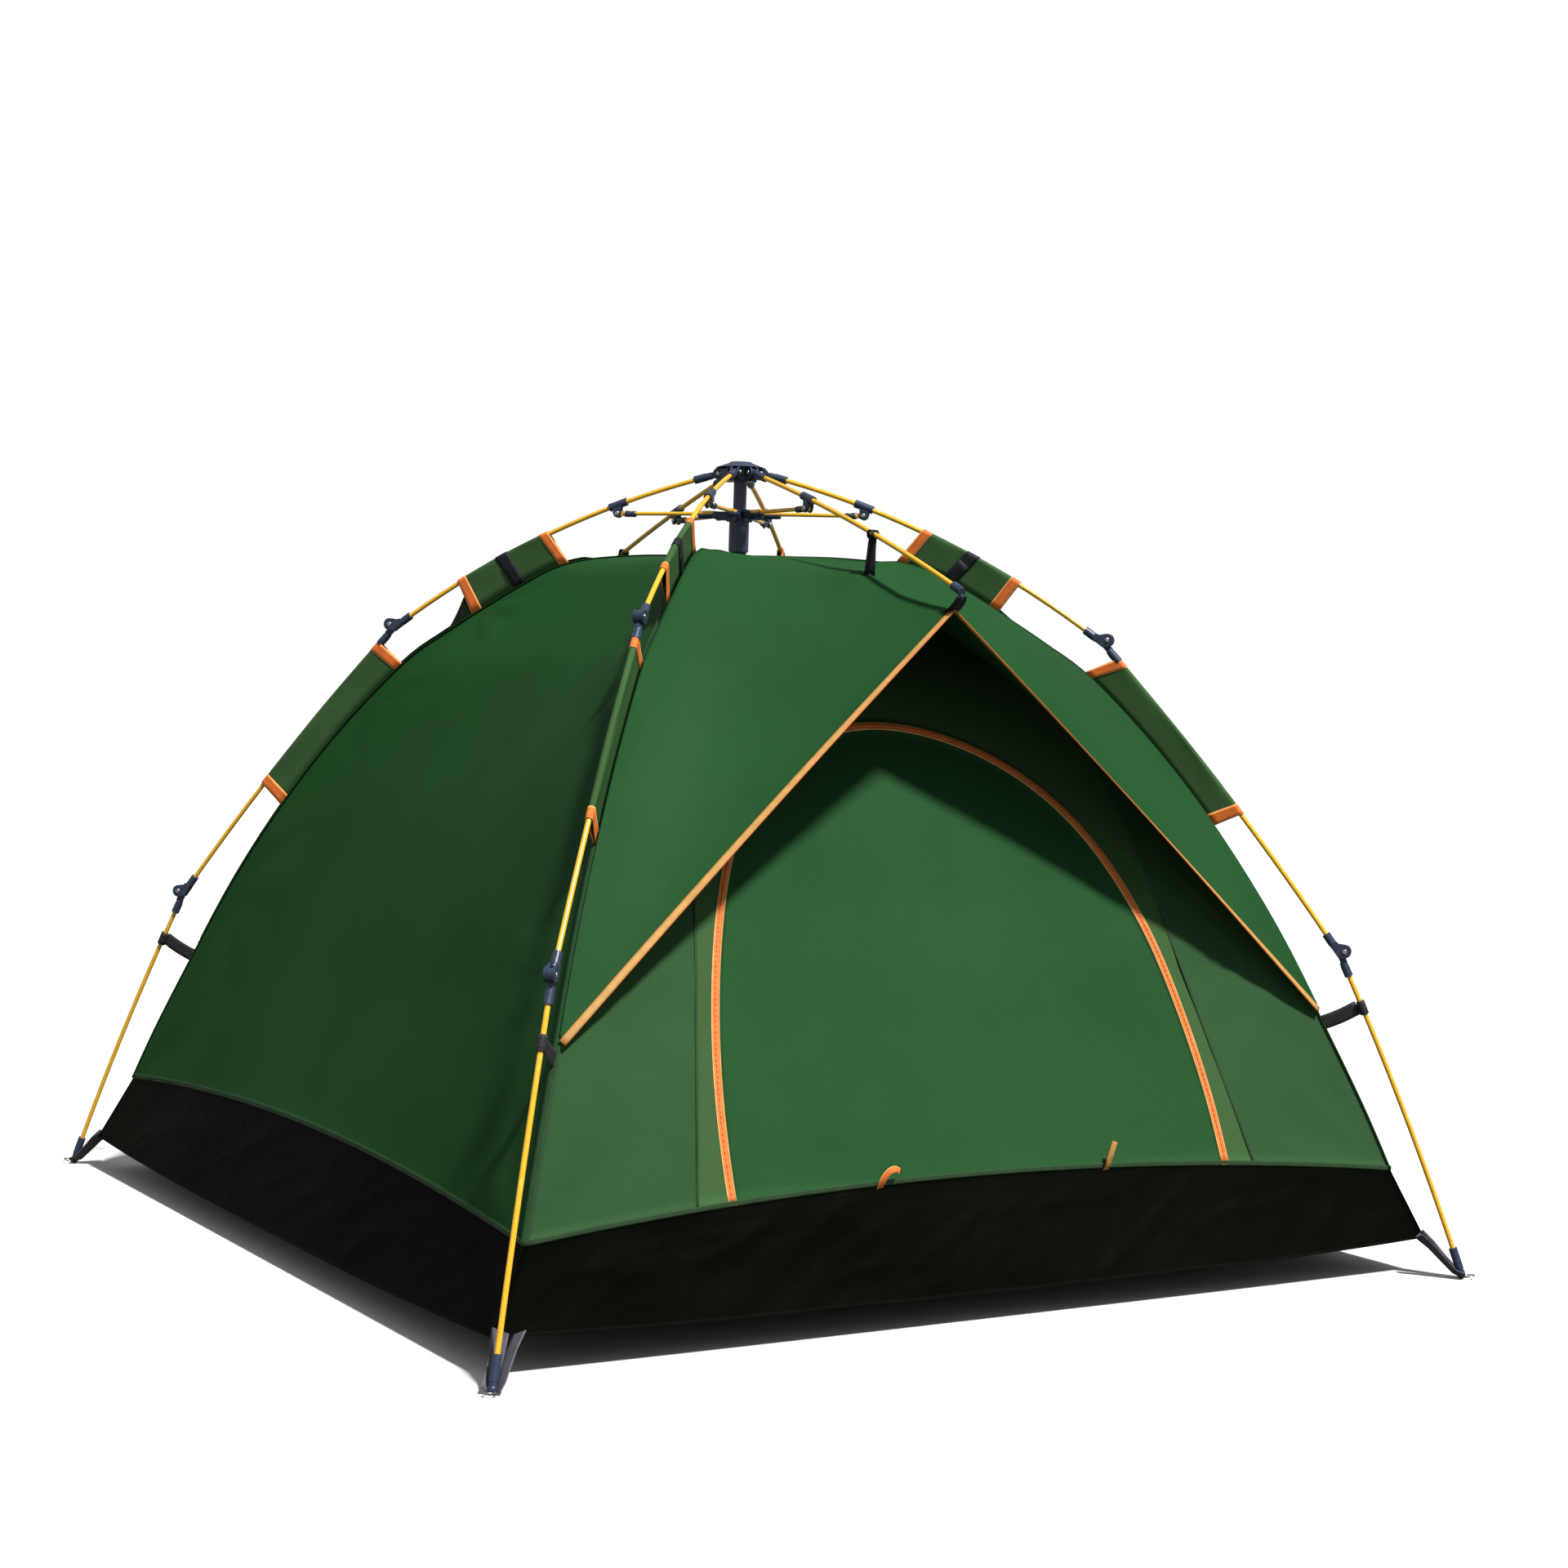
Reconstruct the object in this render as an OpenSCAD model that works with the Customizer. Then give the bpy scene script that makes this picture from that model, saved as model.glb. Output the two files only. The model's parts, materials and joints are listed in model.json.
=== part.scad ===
// Self-erecting dome tent on a folding pole frame.
// Origin on the ground under the hub, +Z up, the door faces -Y. Millimetres.

/* [Frame] */
// Half the distance between the left and the right feet
foot_x = 1030; // [1000:5:1060]
// Half the distance between the front and the rear feet
foot_y = 1070; // [1050:5:1100]
// Height of the arm pivots in the hub
pivot_z = 1536; // [1520:2:1545]
// Distance of the arm pivots from the mast axis
pivot_r = 45; // [43:1:47]
// Distance of the upper elbows from the mast axis
elbow1_r = 757; // [740:1:775]
// Height of the upper elbows
elbow1_z = 1203; // [1190:1:1215]
// Distance of the lower elbows from the mast axis
elbow2_r = 1235; // [1220:1:1250]
// Height of the lower elbows
elbow2_z = 612; // [600:1:625]
// Distance of the awning tips from the mast axis
awning_r = 788; // [770:1:800]
// Height of the awning tips
awning_z = 1276; // [1265:1:1285]
// Pole diameter
pole_d = 9.5; // [8:0.5:10]
// Rise of the bowed arms above their chord
arm_bow = 40; // [34:1:44]

/* [Hub and mast] */
// Distance of the strut pivots on the arms from the mast axis
knuckle_r = 262; // [255:1:270]
// Height of the strut pivots on the arms
knuckle_z = 1452; // [1448:1:1456]
// Distance of the strut pivots on the runner from the mast axis
runner_r = 48; // [47:0.5:49]
// Outer diameter of the upper mast tube
mast_d = 27; // [26:0.5:28]
// Outer diameter of the lower mast tube
outer_tube_d = 41; // [40:0.5:43]

/* [Fabric] */
// Half the side of the groundsheet
floor_half = 1000; // [990:5:1010]
// Height of the groundsheet's edge
floor_edge_z = 52; // [40:1:60]
// Height of the groundsheet's corners
corner_z = 68; // [60:1:75]
// Height of the seam between the tub and the canopy, mid-side
seam_z = 246; // [235:1:255]
// Height of that seam at the corners
seam_corner_z = 200; // [190:1:210]
// Height of the roof's middle
roof_z = 1366; // [1360:1:1368]
// How far the front and the back bow in at the seam, mid-side
front_bow = 40; // [30:1:50]
// How far the left and the right bow in at the seam, mid-side
side_bow = 12; // [0:1:20]
// Thickness of the fabric solids
cloth = 4; // [3:0.5:5]

/* [Hidden] */
$fn = 48;
leg_angle = atan2(foot_y, foot_x);
foot_r = norm([foot_x, foot_y]);
pole_r = pole_d / 2;
sleeve_r = pole_r + 3.5;
solid_r = sleeve_r - 0.8;
pin_r = 2.5;
pin_bore = 2.56;

// Pivot points stand off the pole axis on the outer side of each elbow
pivot_off = 11;
mid_bow = 12;
lower_bow = 8;
awning_bow = 14;
foot_ball_r = 8;

arm_a = [pivot_r, pivot_z];
elbow1 = [elbow1_r, elbow1_z];
elbow2 = [elbow2_r, elbow2_z];
foot_p = [foot_r, foot_ball_r];
awning_p = [awning_r, awning_z];

FL = 180 + leg_angle;
BL = 180 - leg_angle;
BR = leg_angle;
FR = 360 - leg_angle;

// ---- Arcs in a leg's own plane, as [distance from the mast, height] ----
function arc_radius(p, q, bow) = (pow(norm(q - p) / 2, 2) + bow * bow) / (2 * bow);
function chord_angle(p, q) = atan2(q[1] - p[1], q[0] - p[0]);
function arc_centre(p, q, bow) =
  let (a = chord_angle(p, q), m = (p + q) / 2, d = arc_radius(p, q, bow) - bow)
  m + d * [sin(a), -cos(a)];
function arc_half(p, q, bow) = asin(norm(q - p) / 2 / arc_radius(p, q, bow));
// Angle seen from the arc's centre, at a share t of the way from p to q
function arc_turn(p, q, bow, t) = chord_angle(p, q) + 90 + arc_half(p, q, bow) * (1 - 2 * t);
function arc_point(p, q, bow, t) =
  let (b = arc_turn(p, q, bow, t))
  arc_centre(p, q, bow) + arc_radius(p, q, bow) * [cos(b), sin(b)];
function arc_slope(p, q, bow, t) = arc_turn(p, q, bow, t) - 90;
function arc_length(p, q, bow) = 2 * arc_half(p, q, bow) * PI / 180 * arc_radius(p, q, bow);

// Turns a drawing made in the X-Z plane to stand at an angle round the mast
module at_leg(angle) {
  rotate([0, 0, angle]) children();
}

// Round rod along the arc from p to q, between the shares t0 and t1
module arc_rod(p, q, bow, t0, t1, r) {
  c = arc_centre(p, q, bow);
  b1 = arc_turn(p, q, bow, t1);
  sweep = arc_turn(p, q, bow, t0) - b1;
  translate([c[0], 0, c[1]])
    rotate([90, 0, 0])
      rotate([0, 0, b1])
        rotate_extrude(angle = sweep, $fn = 720)
          translate([arc_radius(p, q, bow), 0]) circle(r, $fn = 32);
}

// Places children at p in the leg plane with their +X along the slope
module on_slope(p, slope) {
  translate([p[0], 0, p[1]]) rotate([0, -slope, 0]) children();
}

// Cylinder across the leg plane
module cross(r, w) {
  rotate([90, 0, 0]) cylinder(r = r, h = w, center = true);
}

// Hollow sleeve along +X from x0 to x1
module sleeve_x(x0, x1, r, bore) {
  translate([x0, 0, 0])
    rotate([0, 90, 0])
      difference() {
        cylinder(r = r, h = x1 - x0);
        translate([0, 0, -1]) cylinder(r = bore, h = x1 - x0 + 2);
      }
}

// ---- Hub ----
hub_core_r = 33;
ear_gap = 10.6;
ear_t = 4;
arm_angles = [FL, BL, BR, FR, 90, 270];

module hub_ears(angle) {
  at_leg(angle)
    for (side = [-1, 1])
      translate([0, side * (ear_gap + ear_t) / 2, pivot_z])
        difference() {
          union() {
            translate([26, -ear_t / 2, -12]) cube([pivot_r - 26, ear_t, 24]);
            translate([pivot_r, 0, 0]) cross(12, ear_t);
          }
          translate([pivot_r, 0, 0]) cross(pin_bore, ear_t + 2);
        }
}

module hub_body() {
  color("midnightblue")
    union() {
      difference() {
        translate([0, 0, pivot_z - 16]) cylinder(r = hub_core_r, h = 28);
        translate([0, 0, pivot_z - 17]) cylinder(r = mast_d / 2, h = 19);
        for (a = arm_angles)
          at_leg(a)
            translate([26, -ear_gap / 2, pivot_z - 17]) cube([12, ear_gap, 30]);
      }
      for (a = arm_angles) hub_ears(a);
      // Flat bosses between the sockets
      for (a = [0, 180])
        at_leg(a)
          translate([26, -17, pivot_z - 10]) cube([15, 34, 18]);
    }
}

module hub_cap() {
  color("midnightblue")
    translate([0, 0, pivot_z + 12])
      union() {
        cylinder(r1 = 51, r2 = 27, h = 9);
        translate([0, 0, 9]) cylinder(r1 = 25, r2 = 22, h = 3);
      }
}

module hub_pins() {
  color("silver")
    for (a = arm_angles)
      at_leg(a)
        translate([pivot_r, 0, pivot_z]) rivet(ear_gap + 2 * ear_t);
}

// Pin through a stack of the given width, with a flat head at each end
module rivet(w) {
  cross(pin_r, w + 1);
  for (side = [-1, 1])
    translate([0, side * (w / 2 + 0.9), 0]) cross(4.2, 1.4);
}

// ---- Telescopic mast ----
mast_top_z = pivot_z + 1.5;
mast_low_z = 1386;
stage_wall = 1.9;
second_r = mast_d / 2 - stage_wall - 0.1;
third_r = second_r - stage_wall - 0.1;
inner_r = third_r - stage_wall - 0.1;
outer_low_z = 1374;

module tube(r, wall, z0, z1) {
  translate([0, 0, z0])
    difference() {
      cylinder(r = r, h = z1 - z0);
      translate([0, 0, -1]) cylinder(r = r - wall, h = z1 - z0 + 2);
    }
}

module mast_upper_tube() {
  color("black") tube(mast_d / 2, stage_wall, mast_low_z, mast_top_z);
}

module mast_second_tube() {
  color("dimgray") tube(second_r, stage_wall, mast_low_z, mast_top_z - 6);
}

module mast_third_tube() {
  color("gray") tube(third_r, stage_wall, mast_low_z, mast_top_z - 6);
}

module mast_inner_tube() {
  color("lightgray") tube(inner_r, 1.4, outer_low_z + 5.1, mast_top_z - 6);
}

module mast_outer_tube() {
  color("black") tube(outer_tube_d / 2, 2.4, outer_low_z + 2, knuckle_z - 12.2);
}

module mast_foot() {
  color("black")
    union() {
      translate([0, 0, outer_low_z - 4]) cylinder(r1 = 14, r2 = 17.9, h = 4);
      translate([0, 0, outer_low_z]) cylinder(r = 17.9, h = 5);
      // Eye that the roof hangs from
      translate([0, 0, outer_low_z - 7])
        rotate([90, 0, 0]) rotate_extrude() translate([5, 0]) circle(1.5);
    }
}

spring_rings = 22;
module mast_spring() {
  z0 = outer_low_z + 8;
  z1 = mast_top_z - 10;
  color("silver")
    for (k = [0 : spring_rings - 1])
      translate([0, 0, z0 + (z1 - z0) * k / (spring_rings - 1)])
        rotate_extrude($fn = 24) translate([inner_r - 3.4, 0]) circle(0.9, $fn = 16);
}

// ---- Runner: a ring with six open slots for the strut ends ----
blade_t = 6.4;
knuckle_gap = 7.2;
strut_end_r = 6;
slot_w = 12.8;
runner_ring_r = 27;

module runner() {
  color("midnightblue")
    union() {
      difference() {
        translate([0, 0, knuckle_z - 14]) cylinder(r = runner_ring_r, h = 24);
        translate([0, 0, knuckle_z - 15]) cylinder(r = mast_d / 2 + 0.08, h = 26);
        translate([0, 0, knuckle_z - 15]) cylinder(r = outer_tube_d / 2 + 0.05, h = 2.9);
      }
      for (a = arm_angles)
        at_leg(a)
          for (side = [-1, 1])
            translate([0, side * (slot_w + 3.4) / 2, knuckle_z - 2])
              union() {
                translate([24, -1.7, -8]) cube([runner_r - 24, 3.4, 16]);
                translate([runner_r, 0, 0]) cross(8, 3.4);
                translate([runner_r, side * 2.2, 0]) cross(4.2, 1.6);
              }
    }
}

// ---- Arms ----
// Share of the arc at which its distance from the mast is r
function share_at(p, q, bow, r) =
  let (b = acos((r - arc_centre(p, q, bow)[0]) / arc_radius(p, q, bow)))
  (1 - (b - chord_angle(p, q) - 90) / arc_half(p, q, bow)) / 2;

module arm_pole(q, bow, t1) {
  t0 = (hub_end_in + 1) / arc_length(arm_a, q, bow);
  color("goldenrod") arc_rod(arm_a, q, bow, t0, t1, pole_r);
}

// Straight sleeve round a bowed pole, centred at the share t of its arc
module sleeve_on(p, q, bow, t, w, r = sleeve_r) {
  on_slope(arc_point(p, q, bow, t), arc_slope(p, q, bow, t))
    sleeve_x(-w / 2, w / 2, r, pole_r + 0.08 + w * w / (8 * arc_radius(p, q, bow)));
}

// Plastic end at the hub, and the clip that carries the strut
hub_end_in = 30;
module arm_plastics(q, bow) {
  len = arc_length(arm_a, q, bow);
  on_slope(arm_a, arc_slope(arm_a, q, bow, 0.5 * hub_end_in / len))
    difference() {
      union() {
        cross(8, 10);
        translate([0, -5, -6]) cube([20, 10, 12]);
        translate([17, 0, 0]) rotate([0, 90, 0]) cylinder(r = solid_r, h = hub_end_in - 17);
      }
      cross(pin_bore, 12);
    }
  sleeve_on(arm_a, q, bow, (hub_end_in + 12) / len, 25);
  arm_clip(q, bow);
}

// Clip round the pole, with two ears for the strut's pin below it
clip_half = 20;
clip_ear_t = 3.4;
module arm_clip(q, bow) {
  tk = share_at(arm_a, q, bow, knuckle_r);
  pk = arc_point(arm_a, q, bow, tk);
  slope = arc_slope(arm_a, q, bow, tk);
  bore = pole_r + 0.05 + clip_half * clip_half / (2 * arc_radius(arm_a, q, bow));
  difference() {
    union() {
      on_slope(pk, slope) rotate([0, 90, 0]) cylinder(r = sleeve_r, h = 2 * clip_half, center = true);
      for (side = [-1, 1])
        translate([knuckle_r, side * (knuckle_gap + clip_ear_t) / 2, knuckle_z]) {
          cross(8.5, clip_ear_t);
          translate([-8, -clip_ear_t / 2, 0]) cube([18, clip_ear_t, pk[1] - knuckle_z]);
        }
    }
    on_slope(pk, slope) rotate([0, 90, 0]) cylinder(r = bore, h = 2 * clip_half + 2, center = true);
    translate([knuckle_r, 0, knuckle_z]) cross(pin_bore, 20);
  }
}

module arm_knuckle_pin() {
  translate([knuckle_r, 0, knuckle_z]) rivet(knuckle_gap + 2 * clip_ear_t);
}

// Fork of an elbow: two round cheeks, a web each and the solid end of its sleeve.
// turn is the slope of the upper pole against the elbow's own slope.
elbow_cheek_r = 12;
elbow_blade = 8;
elbow_cheek = 4;
elbow_gap = elbow_blade + 0.7;
elbow_reach = 17;

module elbow_fork(turn) {
  difference() {
    union() {
      for (side = [-1, 1])
        translate([0, side * (elbow_gap + elbow_cheek) / 2, 0]) {
          translate([0, 0, pivot_off]) cross(elbow_cheek_r, elbow_cheek);
          rotate([0, -turn, 0])
            translate([-elbow_reach - 5, -elbow_cheek / 2, -6])
              cube([elbow_reach + 8, elbow_cheek, 15]);
        }
      rotate([0, -turn, 0])
        translate([-elbow_reach - 7, 0, 0]) rotate([0, 90, 0]) cylinder(r = solid_r, h = 7);
    }
    translate([0, 0, pivot_off]) cross(pin_bore, 30);
  }
  translate([0, 0, pivot_off]) rivet(elbow_gap + 2 * elbow_cheek);
}

// Tongue of an elbow: a round blade, its web and the solid end of its sleeve
module elbow_tongue(turn) {
  difference() {
    union() {
      translate([0, 0, pivot_off]) cross(elbow_cheek_r - 1, elbow_blade);
      rotate([0, -turn, 0]) {
        translate([-2, -elbow_blade / 2, -5]) cube([elbow_reach + 5, elbow_blade, 13]);
        translate([elbow_reach, 0, 0]) rotate([0, 90, 0]) cylinder(r = solid_r, h = 7);
      }
    }
    translate([0, 0, pivot_off]) cross(pin_bore, 30);
  }
}

slope1 = (arc_slope(arm_a, elbow1, arm_bow, 1) + arc_slope(elbow1, elbow2, mid_bow, 0)) / 2;
slope2 = (arc_slope(elbow1, elbow2, mid_bow, 1) + arc_slope(elbow2, foot_p, lower_bow, 0)) / 2;
skew = 2.5;

arm_len = arc_length(arm_a, elbow1, arm_bow);
mid_len = arc_length(elbow1, elbow2, mid_bow);
lower_len = arc_length(elbow2, foot_p, lower_bow);
// Distance from an elbow to the pole's end, and to the middle of its sleeve
pole_in = elbow_reach + 8;
sleeve_in = elbow_reach + 7 + 11;
foot_solid = 12;

module leg_arm_fittings(angle) {
  color("midnightblue")
    at_leg(angle) {
      arm_plastics(elbow1, arm_bow);
      arm_knuckle_pin();
      on_slope(elbow1, slope1) elbow_fork(arc_slope(arm_a, elbow1, arm_bow, 1) - slope1);
      sleeve_on(arm_a, elbow1, arm_bow, 1 - sleeve_in / arm_len, 23);
    }
}

module leg_arm_pole(angle) {
  at_leg(angle) arm_pole(elbow1, arm_bow, 1 - pole_in / arm_len);
}

module leg_mid_pole(angle) {
  color("goldenrod")
    at_leg(angle)
      arc_rod(elbow1, elbow2, mid_bow, pole_in / mid_len, 1 - pole_in / mid_len, pole_r);
}

module leg_mid_fittings(angle) {
  color("midnightblue")
    at_leg(angle) {
      on_slope(elbow1, slope1) elbow_tongue(arc_slope(elbow1, elbow2, mid_bow, 0) - slope1);
      sleeve_on(elbow1, elbow2, mid_bow, sleeve_in / mid_len, 23);
      on_slope(elbow2, slope2)
        elbow_skewed() elbow_fork(arc_slope(elbow1, elbow2, mid_bow, 1) - slope2);
      sleeve_on(elbow1, elbow2, mid_bow, 1 - sleeve_in / mid_len, 23);
    }
}

// The lower elbow's pin leans a little, so that the folded poles lie side by side
module elbow_skewed() {
  translate([0, 0, pivot_off]) rotate([0, 0, skew]) translate([0, 0, -pivot_off]) children();
}

module leg_lower_pole(angle) {
  color("goldenrod")
    at_leg(angle)
      arc_rod(elbow2, foot_p, lower_bow, pole_in / lower_len,
        1 - (foot_solid + 1) / lower_len, pole_r);
}

module leg_foot_fittings(angle) {
  color("midnightblue")
    at_leg(angle) {
      on_slope(elbow2, slope2)
        elbow_skewed() elbow_tongue(arc_slope(elbow2, foot_p, lower_bow, 0) - slope2);
      sleeve_on(elbow2, foot_p, lower_bow, sleeve_in / lower_len, 23);
      sleeve_on(elbow2, foot_p, lower_bow, 1 - 32 / lower_len, 41, foot_ball_r);
      on_slope(foot_p, arc_slope(elbow2, foot_p, lower_bow, 1)) {
        sphere(r = foot_ball_r);
        translate([-foot_solid, 0, 0]) rotate([0, 90, 0]) cylinder(r = foot_ball_r - 0.8, h = foot_solid);
      }
    }
}

module strut(angle) {
  len = knuckle_r - runner_r;
  rise = 2;
  color("goldenrod")
    at_leg(angle)
      translate([knuckle_r, 0, knuckle_z])
        rotate([0, atan2(rise, len) + 180, 0])
          difference() {
            union() {
              cross(6, blade_t);
              translate([0, -blade_t / 2, -5]) cube([16, blade_t, 10]);
              translate([14, 0, 0]) rotate([0, 90, 0]) cylinder(r = strut_end_r, h = 24);
              translate([37, 0, 0]) rotate([0, 90, 0]) cylinder(r = 4, h = len - 73);
              translate([len - 37, 0, 0]) rotate([0, 90, 0]) cylinder(r = strut_end_r, h = 32);
              translate([len, 0, 0]) cross(5, 12);
            }
            cross(pin_bore, blade_t + 2);
          }
}

// ---- Awning arms ----
module awning_pole(angle) {
  len = arc_length(arm_a, awning_p, awning_bow);
  at_leg(angle) arm_pole(awning_p, awning_bow, 1 - 9 / len);
}

module awning_fittings(angle) {
  len = arc_length(arm_a, awning_p, awning_bow);
  color("midnightblue")
    at_leg(angle) {
      arm_plastics(awning_p, awning_bow);
      arm_knuckle_pin();
      sleeve_on(arm_a, awning_p, awning_bow, 1 - 18 / len, 20);
      on_slope(awning_p, arc_slope(arm_a, awning_p, awning_bow, 1))
        union() {
          translate([-8.2, 0, 0]) rotate([0, 90, 0]) cylinder(r = solid_r, h = 10);
          // Eye for the awning's hook
          translate([0, 0, -sleeve_r - 3])
            rotate([90, 0, 0]) rotate_extrude($fn = 32) translate([5.5, 0]) circle(1.6);
        }
    }
}

// ---- Fabric: the canopy's shape ----
// Ridge under each leg, as [distance from the mast, height], from the seam to the roof
ridge = [
  [1345, 200], [1290, 318], [1210, 472], [1110, 655], [990, 836],
  [865, 992], [730, 1130], [640, 1194], [555, 1248], [480, 1293],
  [405, 1333], [330, 1354], [220, 1364], [110, 1366], [0, 1366]
];
ridge_n = len(ridge) - 1;
// Share of the way up the ridge, 0 at the seam and 1 at the roof's middle
function ridge_at(t) =
  let (k = min(ridge_n - 1, floor(t * ridge_n)), f = t * ridge_n - k)
  ridge[k] * (1 - f) + ridge[k + 1] * f;
// How far a wall sags in towards the middle, mid-side
function wall_sag(side, t) =
  (side % 180 == 0 ? side_bow : front_bow) * (1 - t * t) + 34 * sin(180 * min(1, t * 1.35));
// Height lost or gained mid-side against the ridges
function wall_lift(t) = (seam_z - seam_corner_z) * pow(1 - t, 3) - 16 * sin(180 * t);
// Point of the canopy on the side that faces angle 0, 90, 180 or 270
function wall_point(side, u, t) =
  let (
    p = ridge_at(t),
    cx = p[0] * cos(leg_angle),
    cy = p[0] * sin(leg_angle),
    out = (side % 180 == 0 ? cx : cy) - wall_sag(side, t) * (1 - u * u),
    along = (side % 180 == 0 ? cy : cx) * u,
    z = p[1] + wall_lift(t) * (1 - u * u)
  )
  side == 0 ? [out, along, z]
    : side == 90 ? [-along, out, z]
    : side == 180 ? [-out, -along, z]
    : [along, -out, z];

// Closed sheet between two grids of points, outer and inner
module sheet(outer, inner) {
  rows = len(outer);
  cols = len(outer[0]);
  n = rows * cols;
  pts = concat([for (r = outer, p = r) p], [for (r = inner, p = r) p]);
  function id(r, c) = r * cols + c;
  faces = concat(
    [for (r = [0 : rows - 2], c = [0 : cols - 2]) [id(r, c), id(r + 1, c), id(r + 1, c + 1)]],
    [for (r = [0 : rows - 2], c = [0 : cols - 2]) [id(r, c), id(r + 1, c + 1), id(r, c + 1)]],
    [for (r = [0 : rows - 2], c = [0 : cols - 2]) [n + id(r, c), n + id(r + 1, c + 1), n + id(r + 1, c)]],
    [for (r = [0 : rows - 2], c = [0 : cols - 2]) [n + id(r, c), n + id(r, c + 1), n + id(r + 1, c + 1)]],
    [for (c = [0 : cols - 2]) [id(0, c), id(0, c + 1), n + id(0, c + 1)]],
    [for (c = [0 : cols - 2]) [id(0, c), n + id(0, c + 1), n + id(0, c)]],
    [for (c = [0 : cols - 2]) [id(rows - 1, c + 1), id(rows - 1, c), n + id(rows - 1, c)]],
    [for (c = [0 : cols - 2]) [id(rows - 1, c + 1), n + id(rows - 1, c), n + id(rows - 1, c + 1)]],
    [for (r = [0 : rows - 2]) [id(r + 1, 0), id(r, 0), n + id(r, 0)]],
    [for (r = [0 : rows - 2]) [id(r + 1, 0), n + id(r, 0), n + id(r + 1, 0)]],
    [for (r = [0 : rows - 2]) [id(r, cols - 1), id(r + 1, cols - 1), n + id(r + 1, cols - 1)]],
    [for (r = [0 : rows - 2]) [id(r, cols - 1), n + id(r + 1, cols - 1), n + id(r, cols - 1)]]
  );
  polyhedron(points = pts, faces = faces, convexity = 8);
}

// Moves a point by a distance towards the tent's middle, part way up
inside_p = [0, 0, 500];
function inward(p, d) = p + d * (inside_p - p) / norm(inside_p - p);

top_share = 0.985;
edge_u = 0.996;
wall_rows = 15;
wall_cols = 11;

module canopy_wall(side) {
  color("darkgreen")
    sheet(
      [for (r = [0 : wall_rows - 1]) [for (c = [0 : wall_cols - 1])
        wall_point(side, edge_u * (2 * c / (wall_cols - 1) - 1), top_share * r / (wall_rows - 1))]],
      [for (r = [0 : wall_rows - 1]) [for (c = [0 : wall_cols - 1])
        inward(wall_point(side, edge_u * (2 * c / (wall_cols - 1) - 1),
          top_share * r / (wall_rows - 1)), cloth)]]
    );
}

module canopy_left() { canopy_wall(180); }
module canopy_right() { canopy_wall(0); }
module canopy_back() { canopy_wall(90); }

// ---- Front wall, door and zip ----
// The door's outline: half width at the seam, height of its arch
door_half = 540;
door_top_t = 0.375;
// Outline of the door as [u, t] on the front wall, a runs from -1 to 1 over the arch
function door_uv(a, grow) =
  let (
    s = 90 * a,
    t = (door_top_t + grow * 0.55) * pow(cos(s), 0.87),
    half = (door_half + grow * 1300) * abs(sin(s)),
    w = ridge_at(t)[0] * cos(leg_angle)
  )
  [sign(a) * half / w, t];
function door_pt(a, grow) = let (q = door_uv(a, grow)) wall_point(270, q[0], q[1]);
front_steps = 28;
front_rows = 4;

function front_grid(d) =
  [for (r = [0 : front_rows]) [for (k = [0 : front_steps])
    let (
      a = 2 * k / front_steps - 1,
      q = door_uv(a, 0.012),
      s = abs(a),
      eu = s > 0.5 ? sign(a) * edge_u : edge_u * a * 2,
      et = s > 0.5 ? 2 * (1 - s) * top_share : top_share,
      f = r / front_rows,
      p = wall_point(270, q[0] * (1 - f) + eu * f, q[1] * (1 - f) + et * f)
    )
    d == 0 ? p : inward(p, d)]];

module canopy_front() {
  color("forestgreen") sheet(front_grid(0), front_grid(cloth));
}

door_rows = 6;
function door_grid(d) =
  [for (r = [0 : door_rows]) [for (k = [0 : front_steps])
    let (
      a = 2 * k / front_steps - 1,
      q = door_uv(a, -0.012),
      f = 0.02 + 0.98 * r / door_rows,
      p = wall_point(270, q[0] * f, q[1] * f)
    )
    d == 0 ? p : inward(p, d)]];

module door_panel() {
  color("forestgreen") sheet(door_grid(0), door_grid(cloth));
}

module door_zip() {
  color("orangered")
    sheet(
      [for (g = [-0.0105, 0.0105]) [for (k = [0 : 2 * front_steps])
        let (a = k / front_steps - 1) inward(door_pt(a, g), -1)]],
      [for (g = [-0.0105, 0.0105]) [for (k = [0 : 2 * front_steps])
        let (a = k / front_steps - 1) inward(door_pt(a, g), cloth)]]
    );
}

// ---- Tub ----
function floor_height(x, y) =
  let (
    e = max(abs(x), abs(y)) / floor_half,
    c = min(abs(x), abs(y)) / floor_half,
    rise = max(0, (e - 0.5) / 0.5)
  )
  rise * rise * (floor_edge_z + (corner_z - floor_edge_z) * c * c * c);
floor_cells = 16;
function floor_grid(d) =
  [for (j = [0 : floor_cells]) [for (i = [0 : floor_cells])
    let (
      k = floor_half - 6.5, // clear of the tub walls, whose foot leans in
      x = k * (2 * i / floor_cells - 1),
      y = k * (2 * j / floor_cells - 1)
    )
    [x, y, floor_height(x, y) + d]]];

module groundsheet() {
  color("black") sheet(floor_grid(0), floor_grid(cloth));
}

// Wall of the tub on one side, from the groundsheet's edge up to the seam
tub_cols = 10;
function tub_point(side, u, f) =
  let (
    top = wall_point(side, u, 0),
    e = floor_half * u,
    z = floor_edge_z + (corner_z - floor_edge_z) * pow(abs(u), 3) + 1,
    low = side == 0 ? [floor_half, e, z]
      : side == 90 ? [-e, floor_half, z]
      : side == 180 ? [-floor_half, -e, z]
      : [e, -floor_half, z]
  )
  low * (1 - f) + (top - [0, 0, 1.8]) * f;
module tub_wall(side) {
  sheet(
    [for (f = [0, 0.5, 1]) [for (c = [0 : tub_cols])
      tub_point(side, 0.994 * (2 * c / tub_cols - 1), f)]],
    [for (f = [0, 0.5, 1]) [for (c = [0 : tub_cols])
      inward(tub_point(side, 0.994 * (2 * c / tub_cols - 1), f), cloth)]]
  );
}

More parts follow.
